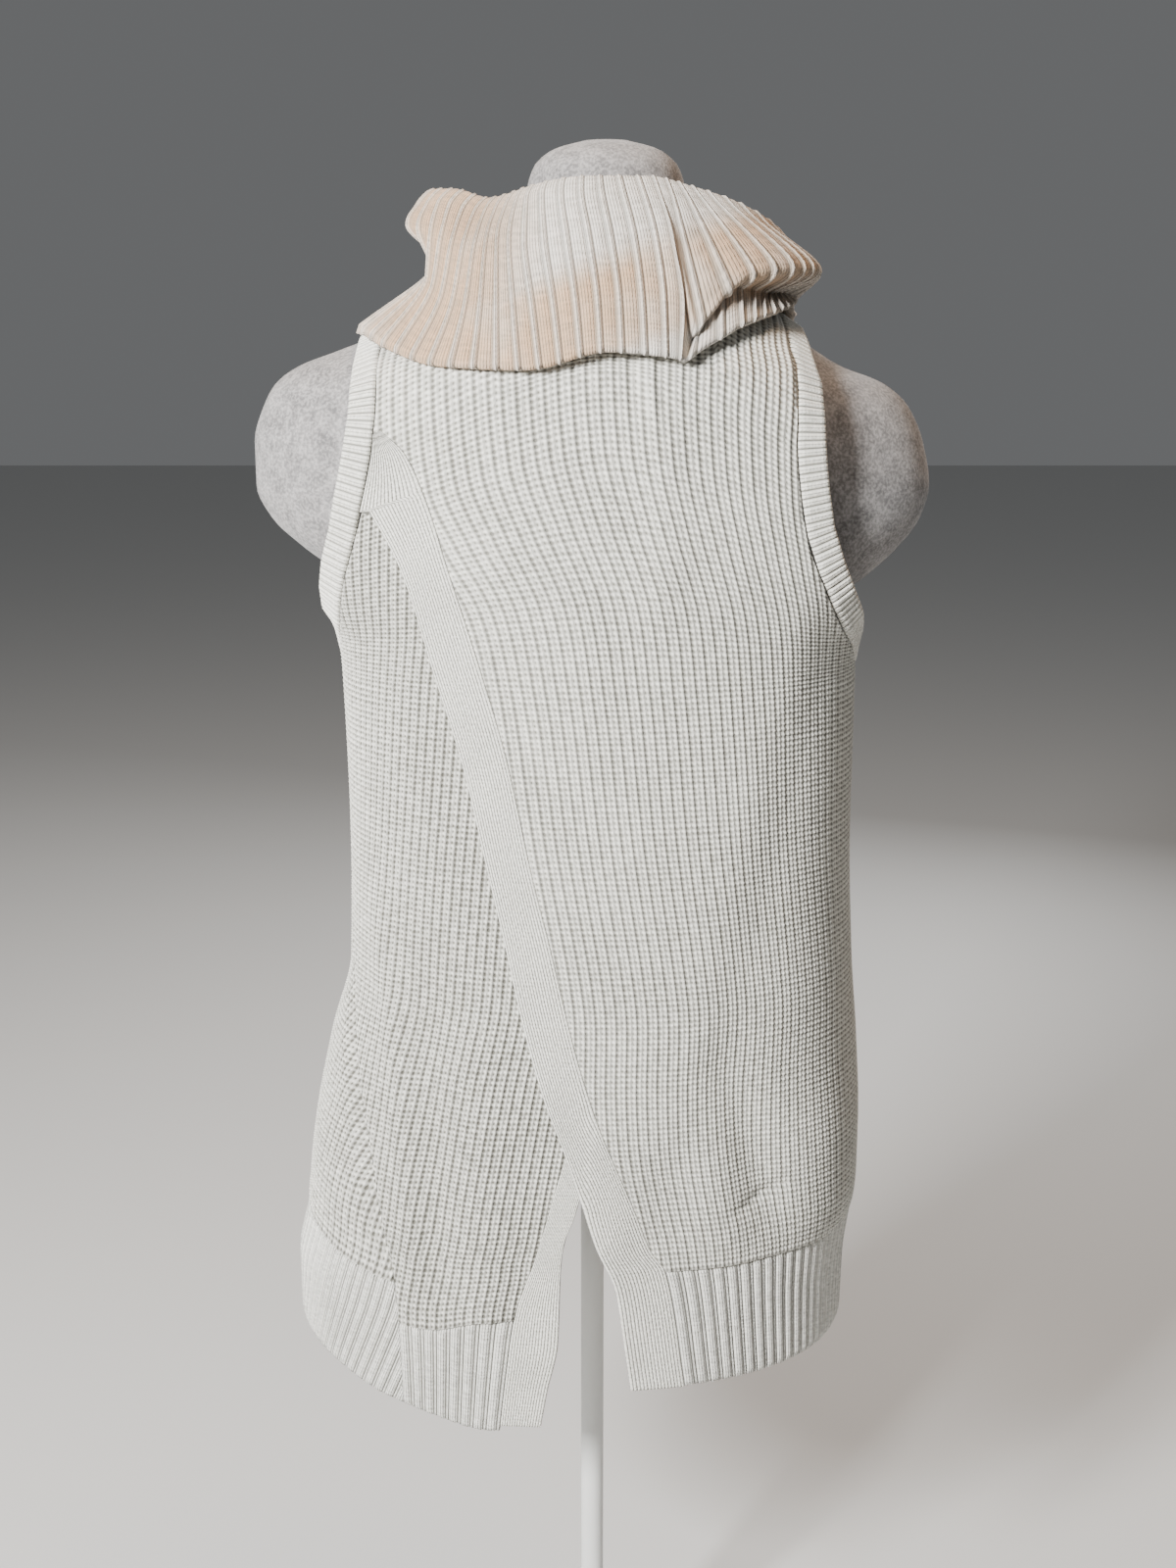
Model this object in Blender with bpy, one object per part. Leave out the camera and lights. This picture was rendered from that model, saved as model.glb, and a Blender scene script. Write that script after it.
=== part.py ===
"""A sleeveless, ribbed turtleneck sweater on a limbless dress form, from behind.

Blender 4.5. The scene is in metres, and every size below is in millimetres. +Z is up, +X is to the right of
somebody who looks at the back of the sweater, and -Y points at them. The origin is the middle of the
stand's underside. Heights in the tables are measured from MIDDLE, half way up the sweater.

Each knitted piece is a wall between two grids of points. The grids lie on one body surface, which takes a
turn (0 right side, 0.25 middle of the back, 0.5 left side, 0.75 middle of the front) and a level, the height
below the underarm and a label that runs on to the shoulder line above it.
"""
import math

import bmesh
import bpy
import numpy as np

# ---- driving sizes ----------------------------------------------------------------------------------
MIDDLE = 715.0           # the middle of the sweater above the floor
WALL = 3.0               # the knitted fabric
SEAM = 0.3               # between two pieces that are sewn together
LAYER_LIFT = 4.0         # inner face of the over panel above that of the under panel
UNDERARM = 80.0          # level where the armholes start
ROUNDING = 260.0         # level where the back starts to turn over the shoulder
SHOULDER = 330.0         # level of the shoulder and neck line
ROUND_HEIGHT = 70.0      # height that the turn over the shoulder takes
HEM_BLEND = -240.0       # below this level the rows follow the top of the hem ribs
NECK_MIDDLE = 8.0        # the neck stands this far right of the middle
NECK_OPENING = 62.0      # radius of the neckline seam
HEM_RIB_PITCH = 8.6
HEM_RIB_RISE = 1.2
BAND_WIDTH = 18.0        # armhole bands
BAND_RIB_PITCH = 4.9
BAND_RIB_RISE = 0.7
COLLAR_RIBS = 56
COLLAR_RIB_RISE = 1.6
POLE_RADIUS = 8.0
BASE_RADIUS = 150.0
BASE_HEIGHT = 9.0
FORM_CLEARANCE = 0.8     # between the form's shoulders and the cloth that rests on them

# ---- tables -----------------------------------------------------------------------------------------
# Inner face of the sweater, ring by ring: how far it reaches each way, and how square the ring is
RINGS = {
    "level": (-410, -372, -325, -290, -262, -225, -168, -110, -15, 80, 112, 150, 200, 250, 330),
    "left": (-194, -198, -198, -191, -189, -184, -172, -157, -155, -157, -160, -178, -202, -212, -212),
    "right": (165, 168, 169, 173, 177, 177, 174, 169, 165, 165, 168, 184, 204, 212, 212),
    "back": (117, 118, 119, 118, 119, 118, 116, 113, 107, 103, 103, 102, 99, 98, 98),
    "front": (121, 122, 123, 122, 124, 122, 119, 116, 115, 118, 117, 112, 102, 98, 98),
    "square": (2.3, 2.3, 2.3, 2.3, 2.3, 2.3, 2.3, 2.3, 2.35, 2.4, 2.4, 2.4, 2.4, 2.4, 2.4),
}
# Shoulder ridge under the cloth, which also shapes the dress form
RIDGE = {
    "x": (-200, -177, -150, -120, -90, -55, 8, 70, 95, 115, 131, 150, 180),
    "height": (258, 272, 281, 294, 307, 322, 338, 322, 309, 297, 284, 271, 258),
}
# Seam between body and armhole band
ARMHOLE = {
    "height": (80, 96, 112, 140, 166, 190, 225, 250, 277, 300),
    "left": (-157, -157, -155, -150, -142, -135, -127, -124, -125, -126),
    "right": (165, 161, 152, 137, 126, 121, 117, 116, 115, 112),
}
# Crossed fronts of the two back panels: the edges of the smooth band on each
OVER_BAND_OUTER = {
    "height": (-372, -335, -301, -267, -237, -205, -171, -125, -72, -27, 33, 91, 151, 200),
    "x": (24, 19, 14, 1, -8, -18, -30, -42, -53, -63, -76, -93, -111, -137),
}
OVER_BAND_INNER = {
    "height": (-372, -290, -275, -245, -186, -142, -80, -25, 39, 111, 155, 191, 221, 240),
    "x": (59, 46, 37, 26, 3, -10, -24, -37, -50, -70, -84, -95, -108, -130),
}
UNDER_BAND_OUTER = {
    "height": (-402, -373, -338, -286, -269, -252, -232, -205, -171, -125, -72, -27, 33, 91, 151, 185),
    "x": (-34, -29, -22, -20, -18, -12, -6, 6, 20, 34, 45, 55, 68, 85, 103, 116),
}
UNDER_BAND_INNER = {
    "height": (-402, -358, -322, -282, -239, -204, -186, -142, -80, -25, 39, 111, 150, 185),
    "x": (-60, -55, -50, -37, -25, -15.5, -11, 2, 16, 29, 42, 62, 74, 84),
}
LEFT_SEAM = {
    "height": (-410, -335, -304, -261, -212, -170, -108, -60, 80),
    "x": (-122, -124, -127, -135, -142, -149, -153, -154, -157),
}
# Round the hem: its lower edge, and the line where its ribs start
HEM = {
    "turn": (-0.15, 0.0, 0.1, 0.25, 0.262, 0.29, 0.322, 0.347,
             0.358, 0.4, 0.44, 0.5, 0.6, 0.75, 0.85, 1.0),
    "bottom": (-356, -368, -371, -373, -397, -403, -396, -390,
               -388, -377, -371, -366, -358, -350, -354, -368),
    "ribs": (-279, -285, -288, -290, -292, -295, -300, -306,
             -305, -299, -292, -286, -281, -275, -278, -285),
}
UNDER_RIBS = {"turn": (0.25, 0.29, 0.322, 0.35), "height": (-320, -324, -334, -333)}
# Soft folds, by piece: a ridge (depth > 0) or a trough (depth < 0) along a line
FOLDS = {
    # top x, top height, bottom x, bottom height, half width, depth
    "under": (
        (-132, -60, -112, -300, 9, 3.5),
        (-104, -110, -98, -330, 13, -3.5),
        (-70, -150, -66, -330, 16, 3.0),
    ),
    "over": (
        (85, -150, 112, -262, 15, -4.5),
        (150, -190, 150, -285, 26, 4.5),
        (70, -200, 84, -288, 20, 3.0),
        (40, 270, 44, 130, 12, 2.0),
        (-60, 210, 20, 40, 30, 2.0),
    ),
    "front": (
        (-120, 60, -150, -270, 24, 4.0),
        (-70, 20, -80, -285, 20, -4.5),
        (-20, -40, -15, -280, 22, 4.0),
        (50, 40, 65, -280, 20, -4.5),
        (105, 60, 120, -275, 24, 4.0),
        (-100, 190, -30, 60, 24, 2.5),
        (100, 190, 40, 70, 24, -2.5),
    ),
    "plain": (),
}
# The collar, rib by rib from the right corner of its free edge, leftward round the back: four rings of
# points round the neck, each as azimuth (0 right, 90 back), radius and height
COLLAR = (
    # rib, crest (azimuth, radius, height), swell (...), tuck (...), free edge (...)
    (-14, -24, 108, 340, -25, 130, 320, -26, 128, 300, -28, 134, 286),
    (-11, -6, 108, 342, -6, 129, 322, -6, 112, 308, -6, 118, 307),
    (-8, 13, 100, 352, 11, 129, 326, 13, 98, 313, 16, 110, 304),
    (-5, 32, 84, 364, 27, 121, 332, 32, 88, 318, 36, 110, 294),
    (-2.5, 46, 69, 371, 43, 105, 335, 50, 90, 318, 55, 114, 283),
    (-1.1, 54, 63, 374, 51, 96, 339, 59, 93, 310, 63, 111, 276),
    (-0.4, 58, 61, 375, 56, 92, 342, 62, 107, 306, 67, 118, 274),
    (0.5, 64, 58, 376, 62, 86, 343, 66, 105, 306, 70, 117, 275),
    (4, 102, 54, 376, 94, 77, 343, 91, 98, 308, 90, 112, 279),
    (8, 146, 57, 371, 131, 82, 341, 119, 103, 302, 113, 119, 269),
    (12, 168, 72, 366, 152, 92, 341, 142, 110, 306, 136, 136, 271),
    (15, 180, 92, 372, 170, 104, 348, 162, 110, 320, 153, 145, 280),
    (18, 194, 112, 373, 188, 123, 354, 180, 100, 331, 169, 152, 289),
    (21, 210, 121, 365, 208, 126, 350, 200, 103, 327, 187, 152, 287),
    (25, 234, 112, 350, 232, 126, 328, 222, 124, 296, 212, 146, 262),
    (29, 258, 108, 338, 256, 124, 318, 252, 132, 282, 248, 146, 246),
    (33, 282, 106, 334, 280, 124, 312, 280, 134, 278, 282, 146, 244),
    (37, 306, 106, 332, 304, 126, 312, 304, 132, 284, 306, 142, 250),
)
CREST_IN = (-3.0, -10.0)     # the fabric turns over at the crest through these two points beside it,
CREST_OUT = (7.0, -7.0)      # as steps in radius and height
COLLAR_ROOM = 3.4            # from the yoke to the middle of the collar's wall where that rests on it
# The dress form below its shoulder ridge, and its neck
FORM = {
    "height": (-190, -186, -150, -95, -35, 30, 90, 122, 140, 157, 175, 195, 222, 245, 258),
    "left": (-138, -143, -146, -130, -116, -126, -141, -148, -162, -184, -203, -212, -212, -205, -197),
    "right": (142, 147, 150, 134, 120, 130, 145, 154, 176, 194, 207, 212, 207, 196, 180),
    "depth": (96, 100, 102, 92, 82, 86, 92, 92, 91, 90, 89, 88, 85, 79, 74),
}
FORM_RIDGE_STEPS = (268, 277, 286, 296, 306, 316)
FORM_RIDGE_DEPTH = (66, 58, 51, 46, 41, 40)
NECK = {"height": (326, 340, 372, 386, 396, 401), "radius": (45, 47, 48, 44, 32, 14)}

BODY_LEVELS = (-285, -263, -240, -205, -170, -135, -100, -60, -20, 20, 55, 80, 100, 125, 150, 175, 200,
               225, 245, 260, 272, 284, 296, 308, 319, 329.9)
OVER_BAND_FOOT = (-373, -332, -290.5, -265.6, -240)     # rows that match the panel and hem beside the band
UNDER_BAND_FOOT = (-399, -361, -321.5, -281, -262, -240)
UNDER_TOP = 250.0        # the hidden yoke of the under panel ends below the shoulder
OVER_BAND_TOP = 268.0    # level where the over panel's band runs out at the left armhole
SIDE_GAP = 0.0001        # half the gap at the right side seam, in turns
LEFT_GAP = 0.0008        # the same at the left side seam, whose two sides have their own rows
OVER_OUTER_TOP = 219.0   # level where the outer edge of that band meets the armhole
OVER_BAND_LAST = 266.0   # its last row
UNDER_BAND_TOP = 170.0   # the hidden end of the under panel's band
OVER_STEP = (24.0, 60.0)       # the over panel leaves the under panel this far right of its edge
YOKE_START = (165.0, 200.0)    # between these heights the left armhole passes to the over panel
OVER_SETTLE = (262.0, 282.0)   # the over panel comes down to the form between these heights
BACK_COLUMNS = 16
FRONT_COLUMNS = 17
FORM_SIDES = 28
HEM_MIDDLE = -330.0
HEM_ROWS = (0.0, 0.5, 1.0)
# Along a collar rib: the place of each ring of points, and where the wall's own rows lie between them
COLLAR_PLACES = (0, 1.0, 1.35, 1.7, 2.7, 3.7, 4.7)
COLLAR_ROWS = (0, 0.8, 1.35, 1.75, 2.2, 2.7, 3.15, 3.5, 3.85, 4.25, 4.7)
FIT_PASSES = 6           # times that a row or an edge is brought nearer to the line it follows
ROUNDING_PASSES = 12     # times that the armhole bands' normals are evened out


# ---- curves -----------------------------------------------------------------------------------------
def smooth(at, places, values):
    """A smooth curve through a table: cubic between its rows, and level at each highest or lowest row."""
    places, values = np.asarray(places, float), np.asarray(values, float)
    rates = np.diff(values) / np.diff(places)
    before, after = rates[:-1], rates[1:]
    even = 2 * before * after / np.where(before + after == 0, 1, before + after)
    slopes = np.concatenate([rates[:1], np.where(before * after > 0, even, 0), rates[-1:]])
    at = np.clip(at, places[0], places[-1])
    row = np.clip(np.searchsorted(places, at) - 1, 0, len(places) - 2)
    span = places[row + 1] - places[row]
    t = (at - places[row]) / span
    return (values[row] * (1 + 2 * t) * (1 - t) ** 2 + values[row + 1] * t * t * (3 - 2 * t)
            + slopes[row] * span * t * (1 - t) ** 2 - slopes[row + 1] * span * t * t * (1 - t))


def ease(at, start, end):
    """0 before start, 1 after end, and a smooth step between them."""
    t = np.clip((at - start) / (end - start), 0.0, 1.0)
    return t * t * (3 - 2 * t)


def column(table, name, at, key="height"):
    return smooth(at, table[key], table[name])


# ---- body surface -----------------------------------------------------------------------------------
def ring(level):
    """Middle, half width, depths and squareness of the sweater's ring at a level."""
    left, right = column(RINGS, "left", level, "level"), column(RINGS, "right", level, "level")
    return ((left + right) / 2, (right - left) / 2, column(RINGS, "back", level, "level"),
            column(RINGS, "front", level, "level"), column(RINGS, "square", level, "level"))


def turn_at(x, level, front=False):
    """The turn where the ring at this level passes x, on its back or its front half."""
    middle, half, _, _, square = ring(level)
    across = np.clip((x - middle) / half, -1.0, 1.0)
    back_turn = np.arccos(np.sign(across) * np.abs(across) ** (square / 2)) / (2 * math.pi)
    return 1.0 - back_turn if front else back_turn


def height_at(x, level):
    """Height and fore-and-aft share of a point: level up to the underarm, over the shoulder above it."""
    top = smooth(x, RIDGE["x"], RIDGE["height"])
    rise = np.clip((level - UNDERARM) / (ROUNDING - UNDERARM), 0, 1)
    straight = UNDERARM + (top - ROUND_HEIGHT - UNDERARM) * rise
    return np.where(level < UNDERARM, level, straight), top


def body(turn, level):
    """Points of the sweater's inner face, without folds."""
    middle, half, back, front, square = ring(level)
    angle = 2 * math.pi * turn
    across, along = np.cos(angle), np.sin(angle)
    x = middle + half * np.sign(across) * np.abs(across) ** (2 / square)
    depth = np.where(along > 0, back, front) * np.abs(along) ** (2 / square)
    height, top = height_at(x, level)
    neck = np.sqrt(np.clip(NECK_OPENING ** 2 - (x - NECK_MIDDLE) ** 2, 0, None))
    last = np.arcsin(np.clip(neck / np.maximum(depth, 1.0), 0, 0.97))
    over = math.pi / 2 + (last - math.pi / 2) * np.clip((level - ROUNDING) / (SHOULDER - ROUNDING), 0, 1)
    height = np.where(level > ROUNDING, top - ROUND_HEIGHT * (1 - np.cos(over)), height)
    share = np.where(level > ROUNDING, np.sin(over), 1.0)
    return np.stack([x, -np.sign(along) * depth * share, height], axis=-1)


def folds(points, table):
    """Height of the folds over these points."""
    x, height = points[..., 0], points[..., 2]
    total = np.zeros_like(x)
    for top_x, top, bottom_x, bottom, half_width, depth in table:
        along = np.clip((top - height) / (top - bottom), 0, 1)
        line = top_x + (bottom_x - top_x) * along
        reach = ease(height, bottom - 25, bottom + 25) * (1 - ease(height, top - 45, top + 45))
        total += depth * reach * np.exp(-(((x - line) / half_width) ** 2))
    return total


def outward(turn, level):
    """Unit normals of the body surface, by small steps each way."""
    step_turn, step_level = 0.002, 0.5
    low = np.minimum(level + step_level, SHOULDER)
    round_the_body = body(turn + step_turn, level) - body(turn - step_turn, level)
    up_the_body = body(turn, low) - body(turn, low - 2 * step_level)
    normal = np.cross(up_the_body, round_the_body)
    return normal / np.linalg.norm(normal, axis=-1, keepdims=True)


def raised(turn, level, lift, piece="plain"):
    """Points above the body surface, with the folds of the piece, which fade towards the side seams."""
    points = body(turn, level)
    side = ease(np.abs(np.mod(turn, 0.5) - 0.25), 0.25, 0.17)
    return points + outward(turn, level) * (lift + side * folds(points, FOLDS[piece]))[..., None]


# ---- edges of the pieces ----------------------------------------------------------------------------
def edge(table, name="x", front=False, aside=0.0):
    """An edge given as x by height, as a function that turns a level into a turn."""
    def find(level):
        x = column(table, name, level) + aside
        for _ in range(FIT_PASSES):
            height, top = height_at(x, level)
            over = (math.pi / 2) * (1 - np.clip((level - ROUNDING) / (SHOULDER - ROUNDING), 0, 1))
            height = np.where(level > ROUNDING, top - ROUND_HEIGHT * (1 - np.cos(over)), height)
            x = column(table, name, height) + aside
        return turn_at(x, level, front)
    return find


def joined(lower, upper, level_between):
    """One edge up to a level and another above it."""
    return lambda level: np.where(level <= level_between, lower(level), upper(level))


def side_seam(turn):
    """The right side seam, which has one turn at each level."""
    return lambda level: np.full(np.shape(level), turn)


def left_seam(gap):
    """The left side seam, a gap in turns to one side of its line."""
    return lambda level: edge(LEFT_SEAM)(level) + gap


def over_lift(turn, level):
    """Lift of the over panel, which lies on the under panel as far as that reaches."""
    points = body(turn, level)
    x, height = points[..., 0], points[..., 2]
    beyond = x - column(UNDER_BAND_OUTER, "x", height)
    on_under = 1 - ease(beyond, *OVER_STEP) * (1 - ease(height, *YOKE_START))
    return LAYER_LIFT * on_under * (1 - ease(height, *OVER_SETTLE)) * ease(turn, 0.0, 0.06)


def under_lift(turn, level):
    """The under panel lies on the body itself."""
    return 0.0 * (turn + level)


def left_armhole_lift(turn, level):
    """The left armhole band follows the under panel, then the over panel where that joins it."""
    height = body(turn, level)[..., 2]
    return LAYER_LIFT * ease(height, *YOKE_START) * (1 - ease(height, *OVER_SETTLE))


def rows_between(levels, turn, bottom):
    """Levels of a row, with the lowest rows drawn to the piece's own lower edge."""
    share = (levels - HEM_BLEND) / (BODY_LEVELS[0] - HEM_BLEND)
    return np.where(levels < HEM_BLEND, HEM_BLEND + share * (bottom(turn) - HEM_BLEND), levels)


def panel_grid(left, right, levels, columns, bottom=None):
    """Turns and levels of a panel: each row runs from its right edge to its left edge."""
    across = np.linspace(0, 1, columns + 1)[None, :]
    rows = np.asarray(levels, float)[:, None] + 0 * across
    level, turn = rows, rows * 0 + 0.25
    for _ in range(FIT_PASSES):
        turn = right(level) * (1 - across) + left(level) * across
        level = rows_between(rows, turn, bottom) if bottom else rows
    return turn, level


# ---- solids -----------------------------------------------------------------------------------------
def material(name, colour, roughness, metallic=0.0):
    made = bpy.data.materials.new(name)
    made.use_nodes = True
    shader = made.node_tree.nodes["Principled BSDF"]
    shader.inputs["Base Color"].default_value = (*colour, 1)
    shader.inputs["Roughness"].default_value = roughness
    shader.inputs["Metallic"].default_value = metallic
    return made


def grid_faces(rows, columns, first, ring_closed):
    """Quads of a grid whose points are numbered row by row from first."""
    row, col = np.meshgrid(np.arange(rows - 1), np.arange(columns if ring_closed else columns - 1),
                           indexing="ij")
    across = (col + 1) % columns
    quads = np.stack([row * columns + col, row * columns + across,
                      (row + 1) * columns + across, (row + 1) * columns + col], -1)
    return (quads.reshape(-1, 4) + first).tolist()


def rim_faces(fine, coarse):
    """Triangles between two edges, where the fine one has a whole number of steps to each coarse step."""
    steps = (len(fine) - 1) // (len(coarse) - 1)
    faces = []
    for index in range(len(coarse) - 1):
        here, after = coarse[index], coarse[index + 1]
        run = fine[index * steps:(index + 1) * steps + 1]
        turn_over = (steps + 1) // 2
        faces += [(here, run[n], run[n + 1]) for n in range(turn_over)]
        faces.append((here, run[turn_over], after))
        faces += [(after, run[n], run[n + 1]) for n in range(turn_over, steps)]
    return faces


def add_object(name, points, faces, finish, smooth_shade=True):
    """One named object from points in mm above the floor, with its faces turned outward."""
    mesh = bpy.data.meshes.new(name)
    mesh.from_pydata((np.asarray(points) * 0.001).tolist(), [], faces)
    shape = bmesh.new()
    shape.from_mesh(mesh)
    bmesh.ops.recalc_face_normals(shape, faces=shape.faces)
    shape.to_mesh(mesh)
    shape.free()
    mesh.materials.append(finish)
    if smooth_shade:
        mesh.shade_smooth()
        mesh.set_sharp_from_angle(angle=math.radians(40))
    made = bpy.data.objects.new(name, mesh)
    bpy.context.scene.collection.objects.link(made)
    return made


def wall(name, outer, inner, finish, ring_closed=False):
    """A closed wall between two grids of points (rows, columns, 3), whose rims may differ in fineness."""
    outer_rows, outer_columns = outer.shape[:2]
    inner_rows, inner_columns = inner.shape[:2]
    first_inner = outer_rows * outer_columns
    faces = grid_faces(outer_rows, outer_columns, 0, ring_closed)
    faces += grid_faces(inner_rows, inner_columns, first_inner, ring_closed)
    fine = np.arange(first_inner).reshape(outer_rows, outer_columns)
    coarse = first_inner + np.arange(inner_rows * inner_columns).reshape(inner_rows, inner_columns)
    if ring_closed:
        fine, coarse = np.hstack([fine, fine[:, :1]]), np.hstack([coarse, coarse[:, :1]])
    for row in (0, -1):
        faces += rim_faces(fine[row].tolist(), coarse[row].tolist())
    if not ring_closed:
        for side in (0, -1):
            faces += rim_faces(fine[:, side].tolist(), coarse[:, side].tolist())
    points = np.concatenate([outer.reshape(-1, 3), inner.reshape(-1, 3)]) + (0, 0, MIDDLE)
    return add_object(name, points, faces, finish)


def panel(name, finish, grid, lift, piece="plain"):
    """A plain knitted panel on the turns and levels of its grid."""
    turn, level = grid
    height = lift(turn, level)
    wall(name, raised(turn, level, height + WALL, piece), raised(turn, level, height, piece), finish)


def hem_line(name):
    """One of the two lines round the hem, as a function of the turn."""
    return lambda turn: smooth(turn, HEM["turn"], HEM[name])


def under_ribs(turn):
    """The line where the ribs of the under panel's hem start."""
    return smooth(turn, UNDER_RIBS["turn"], UNDER_RIBS["height"])


def ribbed_hem(name, finish, left, right, lift, ribs_start):
    """A band of upright ribs round the hem: two columns to a rib outside, one inside."""
    middle = np.array([HEM_MIDDLE])
    span = float(left(middle)[0] - right(middle)[0])
    ribs = int(round(abs(span) * ring_length(HEM_MIDDLE) / HEM_RIB_PITCH))
    across = np.linspace(0, 1, 2 * ribs + 1)[None, :]
    up = np.array(HEM_ROWS)[:, None]
    level = HEM_MIDDLE + 0 * across * up
    for _ in range(FIT_PASSES):
        turn = right(level) * (1 - across) + left(level) * across
        bottom, top = hem_line("bottom")(turn), ribs_start(turn) - 3 * SEAM
        level = bottom + (top - bottom) * up
    rise = HEM_RIB_RISE * (np.arange(2 * ribs + 1) % 2)[None, :]
    height = lift(turn, level)
    wall(name, raised(turn, level, height + WALL + rise), raised(turn, level, height)[:, ::2], finish)


def ring_length(level):
    """Length round the sweater at a level, by short steps."""
    turns = np.linspace(0, 1, 201)
    points = body(turns, np.full_like(turns, level))
    return float(np.linalg.norm(np.diff(points, axis=0), axis=1).sum())


def armhole_band(name, finish, side, lift):
    """A ribbed strip that runs round an armhole, sewn to the body's edge and reaching into the hole."""
    sign = 1 if side == "right" else -1
    rise = np.array([row for row in BODY_LEVELS if row >= UNDERARM], float)
    levels = np.concatenate([rise, rise[:0:-1]])
    back = np.arange(len(levels)) < len(rise)
    turns = np.where(back, edge(ARMHOLE, side)(levels), edge(ARMHOLE, side, front=True)(levels))
    seam = raised(turns, levels, np.where(back, lift(turns, levels), 0.0))
    normal = outward(turns, levels)
    loop, loop_normal = np.vstack([seam, seam[:1]]), np.vstack([normal, normal[:1]])
    along = np.concatenate([[0], np.cumsum(np.linalg.norm(np.diff(loop, axis=0), axis=1))])
    ribs = 2 * int(round(along[-1] / BAND_RIB_PITCH / 2))
    places = np.arange(2 * ribs) / (2 * ribs) * along[-1]
    seam = np.stack([np.interp(places, along, loop[:, axis]) for axis in range(3)], -1)
    normal = np.stack([np.interp(places, along, loop_normal[:, axis]) for axis in range(3)], -1)
    for _ in range(ROUNDING_PASSES):
        normal = (np.roll(normal, 1, 0) + 2 * normal + np.roll(normal, -1, 0)) / 4
    normal /= np.linalg.norm(normal, axis=1, keepdims=True)
    tangent = np.roll(seam, -3, 0) - np.roll(seam, 3, 0)
    into_hole = np.cross(tangent, normal) * sign
    into_hole /= np.linalg.norm(into_hole, axis=1, keepdims=True)
    relief = BAND_RIB_RISE * (np.arange(2 * ribs) % 2)[:, None]
    strip = [seam + into_hole * reach for reach in (2 * SEAM, BAND_WIDTH)]
    outer = np.stack([line + normal * (WALL + relief) for line in strip])
    wall(name, outer, np.stack(strip)[:, ::4], finish, ring_closed=True)


def collar(finish):
    """The folded collar: each rib's line rises from the neckline, turns over at the crest and comes down."""
    ribs = np.arange(3 * COLLAR_RIBS) / 3.0
    rows = COLLAR + tuple((row[0] + COLLAR_RIBS, *[value + (360 if n % 3 == 0 else 0)
                                                   for n, value in enumerate(row[1:])]) for row in COLLAR)
    keys = [row[0] for row in rows]
    values = [smooth(ribs, keys, [row[n] for row in rows]) for n in range(1, 13)]
    crest, swell, tuck, free = (values[n:n + 3] for n in (0, 3, 6, 9))
    azimuth = np.radians(crest[0])
    foot = neckline(azimuth)
    foot_radius = np.hypot(foot[:, 0] - NECK_MIDDLE, foot[:, 1])
    line = [
        (crest[0], foot_radius + 1, foot[:, 2] + WALL + 4 * SEAM),
        (crest[0], crest[1] + CREST_IN[0], crest[2] + CREST_IN[1]),
        crest,
        (crest[0] * 0.8 + swell[0] * 0.2, crest[1] + CREST_OUT[0], crest[2] + CREST_OUT[1]),
        swell, tuck, free,
    ]
    knots = np.array([[NECK_MIDDLE + radius * np.cos(np.radians(turned)),
                       -radius * np.sin(np.radians(turned)),
                       height] for turned, radius, height in line]).transpose(0, 2, 1)
    samples = np.array(COLLAR_ROWS)
    middle = np.stack([smooth(samples, COLLAR_PLACES, knots[:, n, axis]) for n in range(len(ribs))
                       for axis in range(3)], 0).reshape(len(ribs), 3, -1).transpose(2, 0, 1)
    room = np.where(samples == 0, COLLAR_ROOM / 2, COLLAR_ROOM)[:, None]
    top, flatness = yoke_top(middle[..., 0], middle[..., 1])
    middle[..., 2] = np.maximum(middle[..., 2], top + (WALL + room) / flatness)
    along = np.gradient(middle, axis=0)
    across = np.roll(middle, -3, axis=1) - np.roll(middle, 3, axis=1)
    normal = np.cross(across, along)
    normal /= np.linalg.norm(normal, axis=2, keepdims=True)
    rise = COLLAR_RIB_RISE * (np.arange(3 * COLLAR_RIBS) % 3 == 1)[None, :, None]
    outer, inner = middle + normal * (WALL / 2 + rise), middle - normal * (WALL / 2)
    wall("collar", outer, inner[::2, ::3], finish, ring_closed=True)


def yoke_top(x, y):
    """Height of the body surface at a place on the shoulders (far below elsewhere), and how flat it is."""
    middle, half, back, _, square = ring(np.full_like(x, SHOULDER))
    side = np.clip(1 - np.abs((x - middle) / half) ** square, 0, 1) ** (1 / square)
    share = np.abs(y) / (back * side)
    flatness = np.sqrt(np.clip(1 - share ** 2, 0, 1))
    height = smooth(x, RIDGE["x"], RIDGE["height"]) - ROUND_HEIGHT * (1 - flatness)
    opening = np.hypot(x - NECK_MIDDLE, y) < NECK_OPENING - 2
    return np.where(opening | (share > 1), -MIDDLE, height), np.maximum(flatness, 0.4)


def neckline(azimuth):
    """Points of the body's top edge round the neck."""
    x = NECK_MIDDLE + NECK_OPENING * np.cos(azimuth)
    level = np.full_like(x, SHOULDER)
    turn = np.where(np.sin(azimuth) > 0, turn_at(x, level), turn_at(x, level, front=True))
    return body(turn, level)


def turned_solid(name, finish, radii, heights, sides=36):
    """A round solid from its outline, bottom to top, closed with flat ends."""
    angle = np.arange(sides) / sides * 2 * math.pi
    rings = [np.stack([radius * np.cos(angle), radius * np.sin(angle), 0 * angle + height], -1)
             for radius, height in zip(radii, heights)]
    faces = grid_faces(len(rings), sides, 0, True)
    faces += [tuple(range(sides)), tuple(range((len(rings) - 1) * sides, len(rings) * sides))]
    add_object(name, np.concatenate(rings), faces, finish)


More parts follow.
